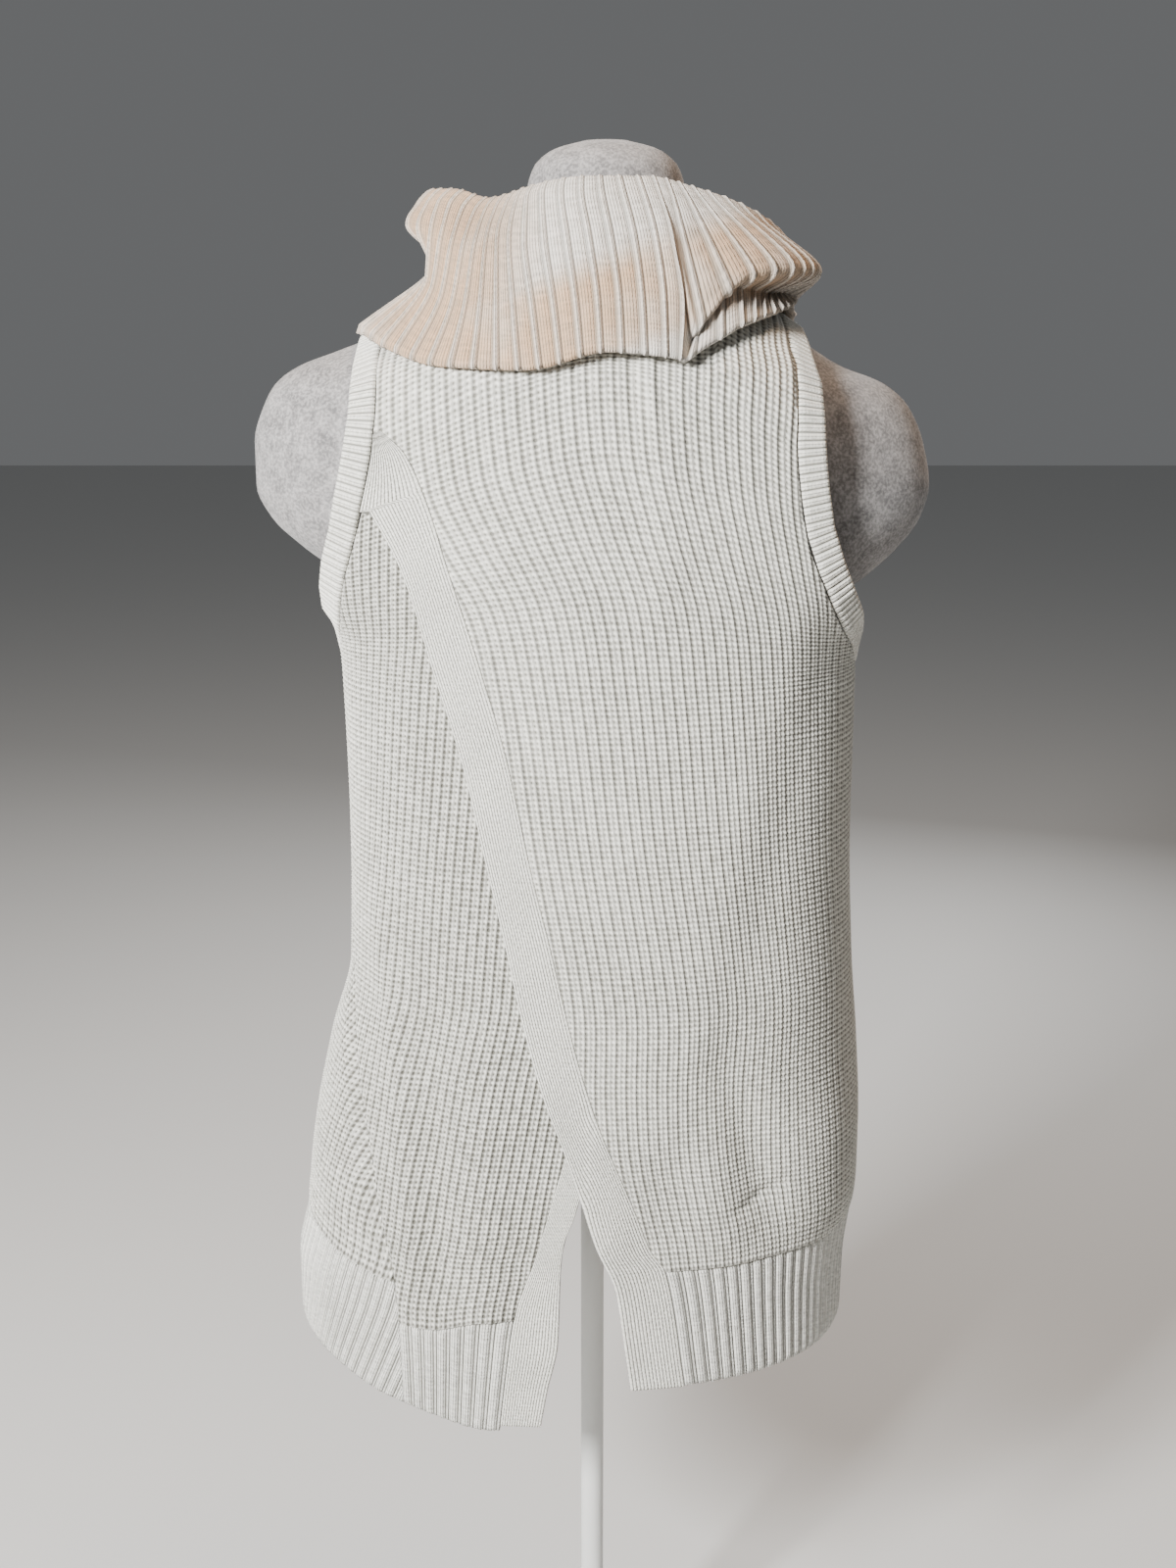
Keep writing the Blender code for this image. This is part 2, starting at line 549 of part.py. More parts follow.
def dress_form(finish):
    """The felt-covered form: torso, shoulder caps and neck stub as one smooth stack of rings."""
    angle = np.arange(FORM_SIDES) / FORM_SIDES * 2 * math.pi
    rows = list(zip(FORM["height"], FORM["left"], FORM["right"], FORM["depth"]))
    reach = np.linspace(-200, 180, 400)
    ridge = smooth(reach, RIDGE["x"], RIDGE["height"]) - FORM_CLEARANCE
    for height, depth in zip(FORM_RIDGE_STEPS, FORM_RIDGE_DEPTH):
        inside = reach[ridge >= height]
        rows.append((height, inside[0], inside[-1], depth))
    rows += [(height, NECK_MIDDLE - radius, NECK_MIDDLE + radius, radius)
             for height, radius in zip(NECK["height"], NECK["radius"])]
    rings = [np.stack([(left + right) / 2 + (right - left) / 2 * np.cos(angle), -depth * np.sin(angle),
                       0 * angle + height], -1) for height, left, right, depth in rows]
    faces = grid_faces(len(rings), FORM_SIDES, 0, True)
    faces += [tuple(range(FORM_SIDES)), tuple(range((len(rings) - 1) * FORM_SIDES, len(rings) * FORM_SIDES))]
    add_object("dress_form", np.concatenate(rings) + (0, 0, MIDDLE), faces, finish)


# ---- the part ---------------------------------------------------------------------------------------
def sweater(knit):
    """The two crossed back panels with their smooth bands, the front, the hem ribs and armhole bands."""
    levels = np.array(BODY_LEVELS, float)
    ribs_top = hem_line("ribs")
    band_rows = levels[(levels > HEM_BLEND) & (levels < OVER_BAND_TOP)]
    right_seam = joined(side_seam(SIDE_GAP), edge(ARMHOLE, "right", aside=-SEAM), UNDERARM)

    over_seam = edge(OVER_BAND_INNER, aside=SEAM / 2)
    over_left = joined(over_seam, edge(ARMHOLE, "left", aside=SEAM), OVER_BAND_TOP)
    panel("back_over_panel", knit, panel_grid(over_left, right_seam, levels, BACK_COLUMNS, ribs_top),
          over_lift, "over")
    over_outer = joined(edge(OVER_BAND_OUTER), edge(ARMHOLE, "left", aside=SEAM), OVER_OUTER_TOP)
    panel("over_band", knit, panel_grid(over_outer, edge(OVER_BAND_INNER, aside=-SEAM / 2),
                                        np.concatenate([OVER_BAND_FOOT, band_rows, [OVER_BAND_LAST]]), 2),
          over_lift)

    under_seam = edge(UNDER_BAND_INNER, aside=-SEAM / 2)
    under_left = joined(left_seam(-LEFT_GAP), edge(ARMHOLE, "left", aside=SEAM), UNDERARM)
    panel("back_under_panel", knit,
          panel_grid(under_left, under_seam, levels[levels < UNDER_TOP], BACK_COLUMNS, under_ribs),
          under_lift, "under")
    panel("under_band", knit, panel_grid(edge(UNDER_BAND_INNER, aside=SEAM / 2), edge(UNDER_BAND_OUTER),
                                         np.append(UNDER_BAND_FOOT, band_rows[band_rows < UNDER_BAND_TOP]),
                                         2),
          under_lift)

    front_right = joined(side_seam(1 - SIDE_GAP), edge(ARMHOLE, "right", True, -SEAM), UNDERARM)
    front_left = joined(left_seam(LEFT_GAP), edge(ARMHOLE, "left", True, SEAM), UNDERARM)
    panel("front_panel", knit, panel_grid(front_left, front_right, levels, FRONT_COLUMNS, ribs_top),
          under_lift, "front")

    ribbed_hem("hem_over_panel", knit, over_seam, side_seam(SIDE_GAP), over_lift, ribs_top)
    ribbed_hem("hem_under_panel", knit, left_seam(-LEFT_GAP), under_seam, under_lift, under_ribs)
    ribbed_hem("hem_front_panel", knit, left_seam(LEFT_GAP), side_seam(1 - SIDE_GAP), under_lift, ribs_top)
    armhole_band("armhole_band_right", knit, "right", over_lift)
    armhole_band("armhole_band_left", knit, "left", left_armhole_lift)
    collar(knit)


def stand(felt, paint):
    """The dress form on its pole and round base."""
    dress_form(felt)
    form_bottom = MIDDLE + FORM["height"][0]
    turned_solid("stand_base", paint,
                 (BASE_RADIUS - 2, BASE_RADIUS, BASE_RADIUS, BASE_RADIUS - 3, 20, 16, 16),
                 (0, 2, BASE_HEIGHT - 4, BASE_HEIGHT, BASE_HEIGHT + 1, BASE_HEIGHT + 5, BASE_HEIGHT + 30))
    turned_solid("stand_pole", paint, (POLE_RADIUS, POLE_RADIUS),
                 (BASE_HEIGHT + 30 + SEAM, form_bottom - SEAM), sides=24)


def build():
    for old in list(bpy.data.objects):
        bpy.data.objects.remove(old, do_unlink=True)
    sweater(material("cream_knit", (0.69, 0.66, 0.59), 0.9))
    stand(material("grey_felt", (0.46, 0.46, 0.45), 0.95), material("pale_paint", (0.75, 0.75, 0.73), 0.45))


if __name__ == "__main__":
    build()
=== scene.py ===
"""The looks of a sleeveless ribbed turtleneck sweater on a limbless dress form, seen from behind.

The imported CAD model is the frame. Every knitted piece here lies on its CAD solid's own surface, which takes a
turn (0 right side, 0.25 middle of the back, 0.5 left side, 0.75 middle of the front) and a level, the height
below the underarm and a label that runs on to the shoulder above it. Tables are in millimetres, and their
heights are measured from MIDDLE, half way up the sweater. Meshes are in metres.
"""
from __future__ import annotations

import logging
import math
from dataclasses import dataclass
from enum import Enum
from typing import Callable

import bmesh
import bpy
import numpy as np
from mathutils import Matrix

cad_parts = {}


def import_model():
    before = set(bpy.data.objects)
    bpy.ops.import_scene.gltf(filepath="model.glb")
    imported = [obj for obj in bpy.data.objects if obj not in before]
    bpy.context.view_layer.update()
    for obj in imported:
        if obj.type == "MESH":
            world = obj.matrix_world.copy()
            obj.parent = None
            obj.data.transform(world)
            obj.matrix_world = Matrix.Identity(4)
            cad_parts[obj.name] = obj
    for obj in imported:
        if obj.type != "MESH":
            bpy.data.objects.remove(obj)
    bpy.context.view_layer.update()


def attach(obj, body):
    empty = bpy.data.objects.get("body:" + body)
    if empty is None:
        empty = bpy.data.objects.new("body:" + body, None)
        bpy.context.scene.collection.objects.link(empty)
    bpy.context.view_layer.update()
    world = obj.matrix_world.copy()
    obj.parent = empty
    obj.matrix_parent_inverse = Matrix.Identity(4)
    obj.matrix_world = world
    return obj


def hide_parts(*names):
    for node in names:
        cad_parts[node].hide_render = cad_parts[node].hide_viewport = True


log = logging.getLogger("sweater")
Line = Callable[[np.ndarray], np.ndarray]

MM = 0.001                    # metres in a millimetre
MIDDLE = 715.0                # the middle of the sweater above the floor
WALL = 3.0                    # the knitted fabric
SEAM = 0.3                    # between two pieces that are sewn together
LAYER_LIFT = 4.0              # inner face of the over panel above that of the under panel
UNDERARM = 80.0               # level where the armholes start
ROUNDING = 260.0              # level where the back starts to turn over the shoulder
SHOULDER = 330.0              # level of the shoulder and neck line
ROUND_HEIGHT = 70.0           # height that the turn over the shoulder takes
HEM_BLEND = -240.0            # below this level the rows follow the top of the hem ribs
LOWEST_ROW = -285.0           # level of a panel's lowest row
TOP_ROW = 329.9               # and of its last
HEM_MIDDLE = -330.0           # level where the ribs of a hem are counted
NECK_MIDDLE = 8.0             # the neck stands this far right of the middle
NECK_OPENING = 62.0           # radius of the neckline seam
BACK_MIDDLE = 0.25            # turn of the middle of the back
FRONT_MIDDLE = 0.75           # and of the front
FOLDS_FADE = (0.25, 0.17)     # turns from the middle where the folds are gone and where they are whole
OVER_STEP = (24.0, 60.0)      # the over panel leaves the under panel this far right of its edge
YOKE_START = (165.0, 200.0)   # between these heights the left armhole passes to the over panel
OVER_SETTLE = (262.0, 282.0)  # the over panel comes down to the form between these heights
SIDE_RISE = (0.0, 0.06)       # turns over which it rises from the right side seam
FIT_PASSES = 6                # times that a row or an edge is brought nearer to the line it follows
MERGE = 1e-3                  # points nearer than this, in mm, become one
RIDGE_PLACE = 1 / 3           # where a collar rib's thin ridge stands in its cell
STITCH_MAP = "stitches"       # the UV map that holds wale and course numbers


# ---- curves -----------------------------------------------------------------------------------------
def ease(at: np.ndarray | float, start: float, end: float) -> np.ndarray:
    """A smooth step: t squared times (3 - 2 t), where t runs from 0 at start to 1 at end.

    Args:
        at: where to read the step.
        start: the place up to which it is 0.
        end: the place from which it is 1.

    Returns:
        The step's height there, between 0 and 1.
    """
    t = np.clip((np.asarray(at, float) - start) / (end - start), 0.0, 1.0)
    return t * t * (3 - 2 * t)


def smooth_through(places: np.ndarray, values: np.ndarray, at: np.ndarray | float) -> np.ndarray:
    """Read a smooth curve through rows of values: cubic between them, and level at each highest or lowest.

    Each row's slope is the harmonic mean of the slopes beside it, or 0 where they differ in sign, and the
    cubic between two rows has their values and slopes.

    Args:
        places: the rows' places, rising.
        values: one value, or one array of them, for each row.
        at: places to read, which are held inside the table.

    Returns:
        The values there.
    """
    spans = np.diff(places)
    each = (1,) * (values.ndim - 1)
    rates = np.diff(values, axis=0) / spans.reshape(-1, *each)
    before, after = rates[:-1], rates[1:]
    even = 2 * before * after / np.where(before + after == 0, 1, before + after)
    slopes = np.concatenate([rates[:1], np.where(before * after > 0, even, 0), rates[-1:]])
    at = np.clip(at, places[0], places[-1])
    row = np.clip(np.searchsorted(places, at) - 1, 0, len(places) - 2)
    span = spans[row].reshape(row.shape + each)
    t = (at - places[row]).reshape(row.shape + each) / span
    return (values[row] * (1 + 2 * t) * (1 - t) ** 2 + values[row + 1] * t * t * (3 - 2 * t)
            + slopes[row] * span * t * (1 - t) ** 2 - slopes[row + 1] * span * t * t * (1 - t))


@dataclass(frozen=True)
class Curve:
    """A smooth curve through a table of places and values."""

    places: tuple[float, ...]
    values: tuple[float, ...]

    def __call__(self, at: np.ndarray | float) -> np.ndarray:
        """Read the curve at these places, which are held inside its table."""
        return smooth_through(np.asarray(self.places, float), np.asarray(self.values, float), at)


def periodic(profile: tuple[tuple[float, float], ...], at: np.ndarray) -> np.ndarray:
    """Read a profile that repeats every whole number, as straight lines between its points.

    Args:
        profile: pairs of place (0 to 1) and height.
        at: where to read it.

    Returns:
        The heights there.
    """
    places, heights = zip(*profile)
    return np.interp(np.mod(at, 1.0), (*places, 1.0 + places[0]), (*heights, heights[0]))


def run_lengths(points: np.ndarray) -> np.ndarray:
    """Lengths along a line of points, from its first point to each."""
    return np.concatenate([[0], np.cumsum(np.linalg.norm(np.diff(points, axis=0), axis=1))])


# ---- the body's surface -----------------------------------------------------------------------------
ARC_STEPS = 1201
GIRTH_STEPS = 201
ROW_STEPS = 700
ROW_TURN = 0.2                # turn of the line up the back that the rows are measured on
ROWS_PER_COURSE = 2
LEAST_DEPTH = 1.0             # smaller depths count as this where they divide
NECK_SHARE = 0.97             # greatest sine of the angle where the turn over the shoulder ends
RING_LEVELS = (-410, -372, -325, -290, -262, -225, -168, -110, -15, 80, 112, 150, 200, 250, 330)


@dataclass(frozen=True)
class Fold:
    """A soft ridge (depth above 0) or trough (below 0) along a straight line down the cloth.

    The line runs from x = top_x at the height top to x = bottom_x at the height bottom.
    """

    top_x: float
    top: float
    bottom_x: float
    bottom: float
    half_width: float
    depth: float
    fade: float = 45.0
    foot_fade: float = 25.0

    def rise(self, x: np.ndarray, height: np.ndarray) -> np.ndarray:
        """How far the fold lifts the cloth: a bell across the line, faded in and out at its ends.

        Args:
            x: place across.
            height: place up.

        Returns:
            The lift in mm.
        """
        along = np.clip((self.top - height) / (self.top - self.bottom), 0, 1)
        line = self.top_x + (self.bottom_x - self.top_x) * along
        foot_fade = min(self.foot_fade, self.fade)
        reach = (ease(height, self.bottom - foot_fade, self.bottom + foot_fade)
                 * (1 - ease(height, self.top - self.fade, self.top + self.fade)))
        return self.depth * reach * np.exp(-(((x - line) / self.half_width) ** 2))


@dataclass(frozen=True)
class Body:
    """The surface that every piece of the sweater's body lies on.

    By level it has its ends at the left and the right, its depths at the back and the front, and how square
    it is, where 2 is an ellipse. The ridge is the height of the shoulders by place across.
    """

    left: Curve = Curve(RING_LEVELS, (-194, -198, -198, -191, -189, -184, -172, -157, -155, -157, -160, -178,
                                      -202, -212, -212))
    right: Curve = Curve(RING_LEVELS, (165, 168, 169, 173, 177, 177, 174, 169, 165, 165, 168, 184, 204, 212,
                                       212))
    back: Curve = Curve(RING_LEVELS, (117, 118, 119, 118, 119, 118, 116, 113, 107, 103, 103, 102, 99, 98, 98))
    front: Curve = Curve(RING_LEVELS, (121, 122, 123, 122, 124, 122, 119, 116, 115, 118, 117, 112, 102, 98,
                                       98))
    square: Curve = Curve(RING_LEVELS, (2.3, 2.3, 2.3, 2.3, 2.3, 2.3, 2.3, 2.3, 2.35, 2.4, 2.4, 2.4, 2.4, 2.4,
                                        2.4))
    ridge: Curve = Curve((-200, -177, -150, -120, -90, -55, 8, 70, 95, 115, 131, 150, 180),
                         (258, 272, 281, 294, 307, 322, 338, 322, 309, 297, 284, 271, 258))

    def ring(self, level: np.ndarray) -> tuple[np.ndarray, np.ndarray, np.ndarray]:
        """Read the rings' tables.

        Args:
            level: levels up the body.

        Returns:
            Middle, half width and squareness of the ring at each level.
        """
        left, right = self.left(level), self.right(level)
        return (left + right) / 2, (right - left) / 2, self.square(level)

    def turn_at(self, x: np.ndarray, level: np.ndarray, front: bool = False) -> np.ndarray:
        """The turn where the ring at this level passes x.

        The ring's x is its half width times cos(angle) to the power 2 / squareness, solved for the angle.

        Args:
            x: place across.
            level: the ring's level.
            front: take the front half.

        Returns:
            The turn.
        """
        middle, half, square = self.ring(level)
        across = np.clip((x - middle) / half, -1.0, 1.0)
        back_turn = np.arccos(np.sign(across) * np.abs(across) ** (square / 2)) / (2 * math.pi)
        return 1.0 - back_turn if front else back_turn

    def straight_height(self, x: np.ndarray, level: np.ndarray) -> np.ndarray:
        """Height of a level where the body is upright, which follows the shoulder ridge above the underarm.

        Args:
            x: place across.
            level: the level.

        Returns:
            Heights: the level itself below the underarm, and a share of the way to the ridge above it.
        """
        rise = np.clip((level - UNDERARM) / (ROUNDING - UNDERARM), 0, 1)
        straight = UNDERARM + (self.ridge(x) - ROUND_HEIGHT - UNDERARM) * rise
        return np.where(level < UNDERARM, level, straight)

    def outline(self, turn: np.ndarray, level: np.ndarray) -> tuple[np.ndarray, np.ndarray]:
        """The ring itself: a rounded rectangle, cos and sin of the angle to the power 2 / squareness.

        Args:
            turn: turns round the body.
            level: levels up the body.

        Returns:
            The place across, and the depth towards the back.
        """
        middle, half, square = self.ring(level)
        across, along = np.cos(2 * math.pi * turn), np.sin(2 * math.pi * turn)
        x = middle + half * np.sign(across) * np.abs(across) ** (2 / square)
        depth = np.where(along > 0, self.back(level), self.front(level)) * np.abs(along) ** (2 / square)
        return x, np.sign(along) * depth

    def point(self, turn: np.ndarray, level: np.ndarray) -> np.ndarray:
        """Points of the inner face, without folds.

        Above the rounding level the height falls from the ridge by ROUND_HEIGHT times (1 - cos a), and the
        depth is scaled by sin a, where a runs from a quarter turn to the ridge or the neck's edge.

        Args:
            turn: turns round the body.
            level: levels up the body.

        Returns:
            Points in mm, with x, y and height last.
        """
        x, depth = self.outline(turn, level)
        neck = np.sqrt(np.clip(NECK_OPENING ** 2 - (x - NECK_MIDDLE) ** 2, 0, None))
        last = np.arcsin(np.clip(neck / np.maximum(np.abs(depth), LEAST_DEPTH), 0, NECK_SHARE))
        over = math.pi / 2 + (last - math.pi / 2) * np.clip((level - ROUNDING) / (SHOULDER - ROUNDING), 0, 1)
        height = np.where(level > ROUNDING, self.ridge(x) - ROUND_HEIGHT * (1 - np.cos(over)),
                          self.straight_height(x, level))
        return np.stack([x, -depth * np.where(level > ROUNDING, np.sin(over), 1.0), height], axis=-1)

    def normal(self, turn: np.ndarray, level: np.ndarray) -> np.ndarray:
        """Unit normals: the cross product of small steps up and round the body.

        Args:
            turn: turns round the body.
            level: levels up the body.

        Returns:
            The normals, which point outwards.
        """
        turn_step, level_step = 0.002, 0.5
        upper = np.minimum(level + level_step, SHOULDER)
        round_the_body = self.point(turn + turn_step, level) - self.point(turn - turn_step, level)
        up_the_body = self.point(turn, upper) - self.point(turn, upper - 2 * level_step)
        normal = np.cross(up_the_body, round_the_body)
        return normal / np.linalg.norm(normal, axis=-1, keepdims=True)

    def raised(self, turn: np.ndarray, level: np.ndarray, lift: np.ndarray,
               folds: tuple[Fold, ...] = (), share: np.ndarray | float = 1.0) -> np.ndarray:
        """Points above the body, with a piece's folds, which fade towards the side seams.

        Args:
            turn: turns round the body.
            level: levels up the body.
            lift: height above the inner face, in mm.
            folds: the piece's folds.
            share: how much of its folds the cloth shows at each place.

        Returns:
            Points in mm.
        """
        points = self.point(turn, level)
        side = ease(np.abs(np.mod(turn, 0.5) - BACK_MIDDLE), *FOLDS_FADE)
        total = sum((fold.rise(points[..., 0], points[..., 2]) for fold in folds), np.zeros(turn.shape))
        return points + self.normal(turn, level) * (lift + side * share * total)[..., None]

    def edge(self, curve: Curve, front: bool = False, aside: float = 0.0) -> Line:
        """An edge given as x by height, as turn by level.

        Args:
            curve: x by height.
            front: the edge is on the front.
            aside: shift to the right, in mm.

        Returns:
            A function from level to turn, found by a few passes between height and x.
        """
        def find(level: np.ndarray) -> np.ndarray:
            """The edge's turns.

            Args:
                level: levels up the body.

            Returns:
                The turn at each.
            """
            x = curve(level) + aside
            over = (math.pi / 2) * (1 - np.clip((level - ROUNDING) / (SHOULDER - ROUNDING), 0, 1))
            for _ in range(FIT_PASSES):
                rounded = self.ridge(x) - ROUND_HEIGHT * (1 - np.cos(over))
                x = curve(np.where(level > ROUNDING, rounded, self.straight_height(x, level))) + aside
            return self.turn_at(x, level, front)
        return find

    def girth(self, level: float) -> float:
        """Length round the body, by short steps.

        Args:
            level: where it is measured.

        Returns:
            The length in mm.
        """
        turns = np.linspace(0, 1, GIRTH_STEPS)
        points = self.point(turns, np.full_like(turns, level))
        return float(np.linalg.norm(np.diff(points, axis=0), axis=1).sum())

    def arc(self, level: float, start: float, end: float, middle: float) -> tuple[np.ndarray, np.ndarray]:
        """Lengths along the ring at a level.

        Args:
            level: the ring's level.
            start: the first turn.
            end: the last turn.
            middle: the turn from which lengths are measured.

        Returns:
            Turns, and the length at each.
        """
        turns = np.linspace(start, end, ARC_STEPS)
        x, depth = self.outline(turns, np.full_like(turns, level))
        length = np.concatenate([[0], np.cumsum(np.hypot(np.diff(x), np.diff(depth)))])
        return turns, length - np.interp(middle, turns, length)


def joined(lower: Line, upper: Line, between: float) -> Line:
    """One edge up to a level, and another above it."""
    return lambda level: np.where(level <= between, lower(level), upper(level))


def along_level(turn: float) -> Line:
    """An edge that keeps one turn."""
    return lambda level: np.full(np.shape(level), turn)


BODY = Body()
ARMHOLE_HEIGHTS = (80, 96, 112, 140, 166, 190, 225, 250, 277, 300)
ARMHOLE_LEFT = Curve(ARMHOLE_HEIGHTS, (-157, -157, -155, -150, -142, -135, -127, -124, -125, -126))
ARMHOLE_RIGHT = Curve(ARMHOLE_HEIGHTS, (165, 161, 152, 137, 126, 121, 117, 116, 115, 112))
OVER_OUTER = Curve((-372, -335, -301, -267, -237, -205, -171, -125, -72, -27, 33, 91, 151, 200),
                   (24, 19, 14, 1, -8, -18, -30, -42, -53, -63, -76, -93, -111, -137))
OVER_INNER = Curve((-372, -290, -275, -245, -186, -142, -80, -25, 39, 111, 155, 191, 221, 240),
                   (59, 46, 37, 26, 3, -10, -24, -37, -50, -70, -84, -95, -108, -130))
UNDER_OUTER = Curve((-402, -373, -338, -286, -269, -252, -232, -205, -171, -125, -72, -27, 33, 91, 151, 185),
                    (-34, -29, -22, -20, -18, -12, -6, 6, 20, 34, 45, 55, 68, 85, 103, 116))
UNDER_INNER = Curve((-402, -358, -322, -282, -239, -204, -186, -142, -80, -25, 39, 111, 150, 185),
                    (-60, -55, -50, -37, -25, -15.5, -11, 2, 16, 29, 42, 62, 74, 84))
LEFT_SEAM = Curve((-410, -335, -304, -261, -212, -170, -108, -60, 80),
                  (-122, -124, -127, -135, -142, -149, -153, -154, -157))
HEM_TURNS = (-0.15, 0.0, 0.1, 0.25, 0.262, 0.29, 0.322, 0.347, 0.358, 0.4, 0.44, 0.5, 0.6, 0.75, 0.85, 1.0)
HEM_BOTTOM = Curve(HEM_TURNS, (-356, -368, -371, -373, -397, -403, -396, -390, -388, -377, -371, -366, -358,
                               -350, -354, -368))
HEM_RIBS = Curve(HEM_TURNS, (-279, -285, -288, -290, -292, -295, -300, -306, -305, -299, -292, -286, -281,
                             -275, -278, -285))
UNDER_RIBS = Curve((0.25, 0.29, 0.322, 0.35), (-320, -324, -334, -333))
OVER_OUTER_TOP = 219.0        # the over band's outer edge meets the armhole at this level
OVER_BAND_FOOT = -373.0
OVER_BAND_LAST = 266.0
UNDER_BAND_FOOT = -399.0
UNDER_BAND_TOP = 150.0


def over_lift(turn: np.ndarray, level: np.ndarray) -> np.ndarray:
    """Lift of the over panel, which lies on the under panel as far as that reaches.

    Args:
        turn: turns round the body.
        level: levels up the body.

    Returns:
        The lift of its inner face in mm.
    """
    points = BODY.point(turn, level)
    x, height = points[..., 0], points[..., 2]
    beyond = x - UNDER_OUTER(height)
    on_under = 1 - ease(beyond, *OVER_STEP) * (1 - ease(height, *YOKE_START))
    return LAYER_LIFT * on_under * (1 - ease(height, *OVER_SETTLE)) * ease(turn, *SIDE_RISE)


def under_lift(turn: np.ndarray, level: np.ndarray) -> np.ndarray:
    """The under panel lies on the body itself."""
    return np.zeros(np.broadcast_shapes(np.shape(turn), np.shape(level)))


def left_armhole_lift(turn: np.ndarray, level: np.ndarray) -> np.ndarray:
    """Lift of the left armhole band, which follows the under panel, then the over panel above it.

    Args:
        turn: turns round the body.
        level: levels up the body.

    Returns:
        The lift of its inner face in mm.
    """
    height = BODY.point(turn, level)[..., 2]
    return LAYER_LIFT * ease(height, *YOKE_START) * (1 - ease(height, *OVER_SETTLE))


# ---- meshes -----------------------------------------------------------------------------------------
def grid_quads(numbers: np.ndarray) -> np.ndarray:
    """Quads between neighbouring numbers of a grid.

    Args:
        numbers: vertex numbers by row and column.

    Returns:
        One row of four numbers for each quad.
    """
    return np.stack([numbers[:-1, :-1], numbers[:-1, 1:], numbers[1:, 1:], numbers[1:, :-1]],
                    -1).reshape(-1, 4)


def rim_triangles(fine: np.ndarray, coarse: np.ndarray) -> np.ndarray:
    """Triangles between two edges, where the fine one has a whole number of steps to each coarse step.

    The first half of a run of fine steps fans from the near coarse point, the rest from the far one.

    Args:
        fine: vertex numbers along the fine edge.
        coarse: vertex numbers along the coarse edge.

    Returns:
        One row of three numbers for each triangle.
    """
    steps = (len(fine) - 1) // (len(coarse) - 1)
    half = (steps + 1) // 2
    start = np.arange(len(coarse) - 1) * steps
    fans = [np.stack([(coarse[:-1] if n < half else coarse[1:]), fine[start + n], fine[start + n + 1]], -1)
            for n in range(steps)]
    fans.append(np.stack([coarse[:-1], fine[start + half], coarse[1:]], -1))
    return np.concatenate(fans)


def weld(points: np.ndarray,
         groups: tuple[np.ndarray, ...]) -> tuple[np.ndarray, np.ndarray, list[np.ndarray]]:
    """Merge points that coincide. A quad that loses a side becomes a triangle, and flat faces are left out.

    Args:
        points: places in mm.
        groups: faces as rows of point numbers, one array for each number of corners.

    Returns:
        Numbers of the points that stay, each point's number among them, and the faces, in the first numbers.
    """
    rounded = np.round(points / MERGE).astype(np.int64)
    _, keep, merged = np.unique(rounded, axis=0, return_index=True, return_inverse=True)
    merged = merged.reshape(-1)
    faces = []
    for group in groups:
        welded = merged[group]
        same = welded == np.roll(welded, -1, axis=1)
        lost = same.sum(axis=1)
        whole = lost == 0
        if group.shape[1] == 4:
            whole &= (welded[:, 0] != welded[:, 2]) & (welded[:, 1] != welded[:, 3])
            faces.append(group[lost == 1][~same[lost == 1]].reshape(-1, 3))
        faces.append(group[whole])
    return keep, merged, faces


def add_mesh(name: str, points: np.ndarray, groups: tuple[np.ndarray, ...],
             stitches: np.ndarray | None = None) -> bpy.types.Object:
    """Make a closed mesh object.

    Args:
        name: the object's name.
        points: places in mm, with heights above MIDDLE.
        groups: faces as rows of point numbers, one array for each number of corners.
        stitches: the stitch map's value at each point, if it has one.

    Returns:
        The object, at the origin, with its faces outward.
    """
    keep, merged, faces = weld(points, groups)
    corners = np.concatenate([group.reshape(-1) for group in faces])
    sizes = np.concatenate([np.full(len(group), group.shape[1]) for group in faces])
    mesh = bpy.data.meshes.new(name)
    mesh.vertices.add(len(keep))
    mesh.vertices.foreach_set("co", ((points[keep] + (0, 0, MIDDLE)) * MM).astype(np.float32).ravel())
    mesh.loops.add(len(corners))
    mesh.loops.foreach_set("vertex_index", merged[corners].astype(np.int32))
    mesh.polygons.add(len(sizes))
    mesh.polygons.foreach_set("loop_start", (np.cumsum(sizes) - sizes).astype(np.int32))
    if stitches is not None:
        layer = mesh.uv_layers.new(name=STITCH_MAP)
        layer.data.foreach_set("uv", stitches[corners].astype(np.float32).ravel())
    mesh.update(calc_edges=True)
    shape = bmesh.new()
    shape.from_mesh(mesh)
    bmesh.ops.recalc_face_normals(shape, faces=shape.faces)
    open_edges = sum(1 for item in shape.edges if not item.is_manifold)
    shape.to_mesh(mesh)
    shape.free()
    mesh.shade_smooth()
    made = bpy.data.objects.new(name, mesh)
    bpy.context.scene.collection.objects.link(made)
    log.info("%s: %d faces, %d open edges", name, len(sizes), open_edges)
    return made


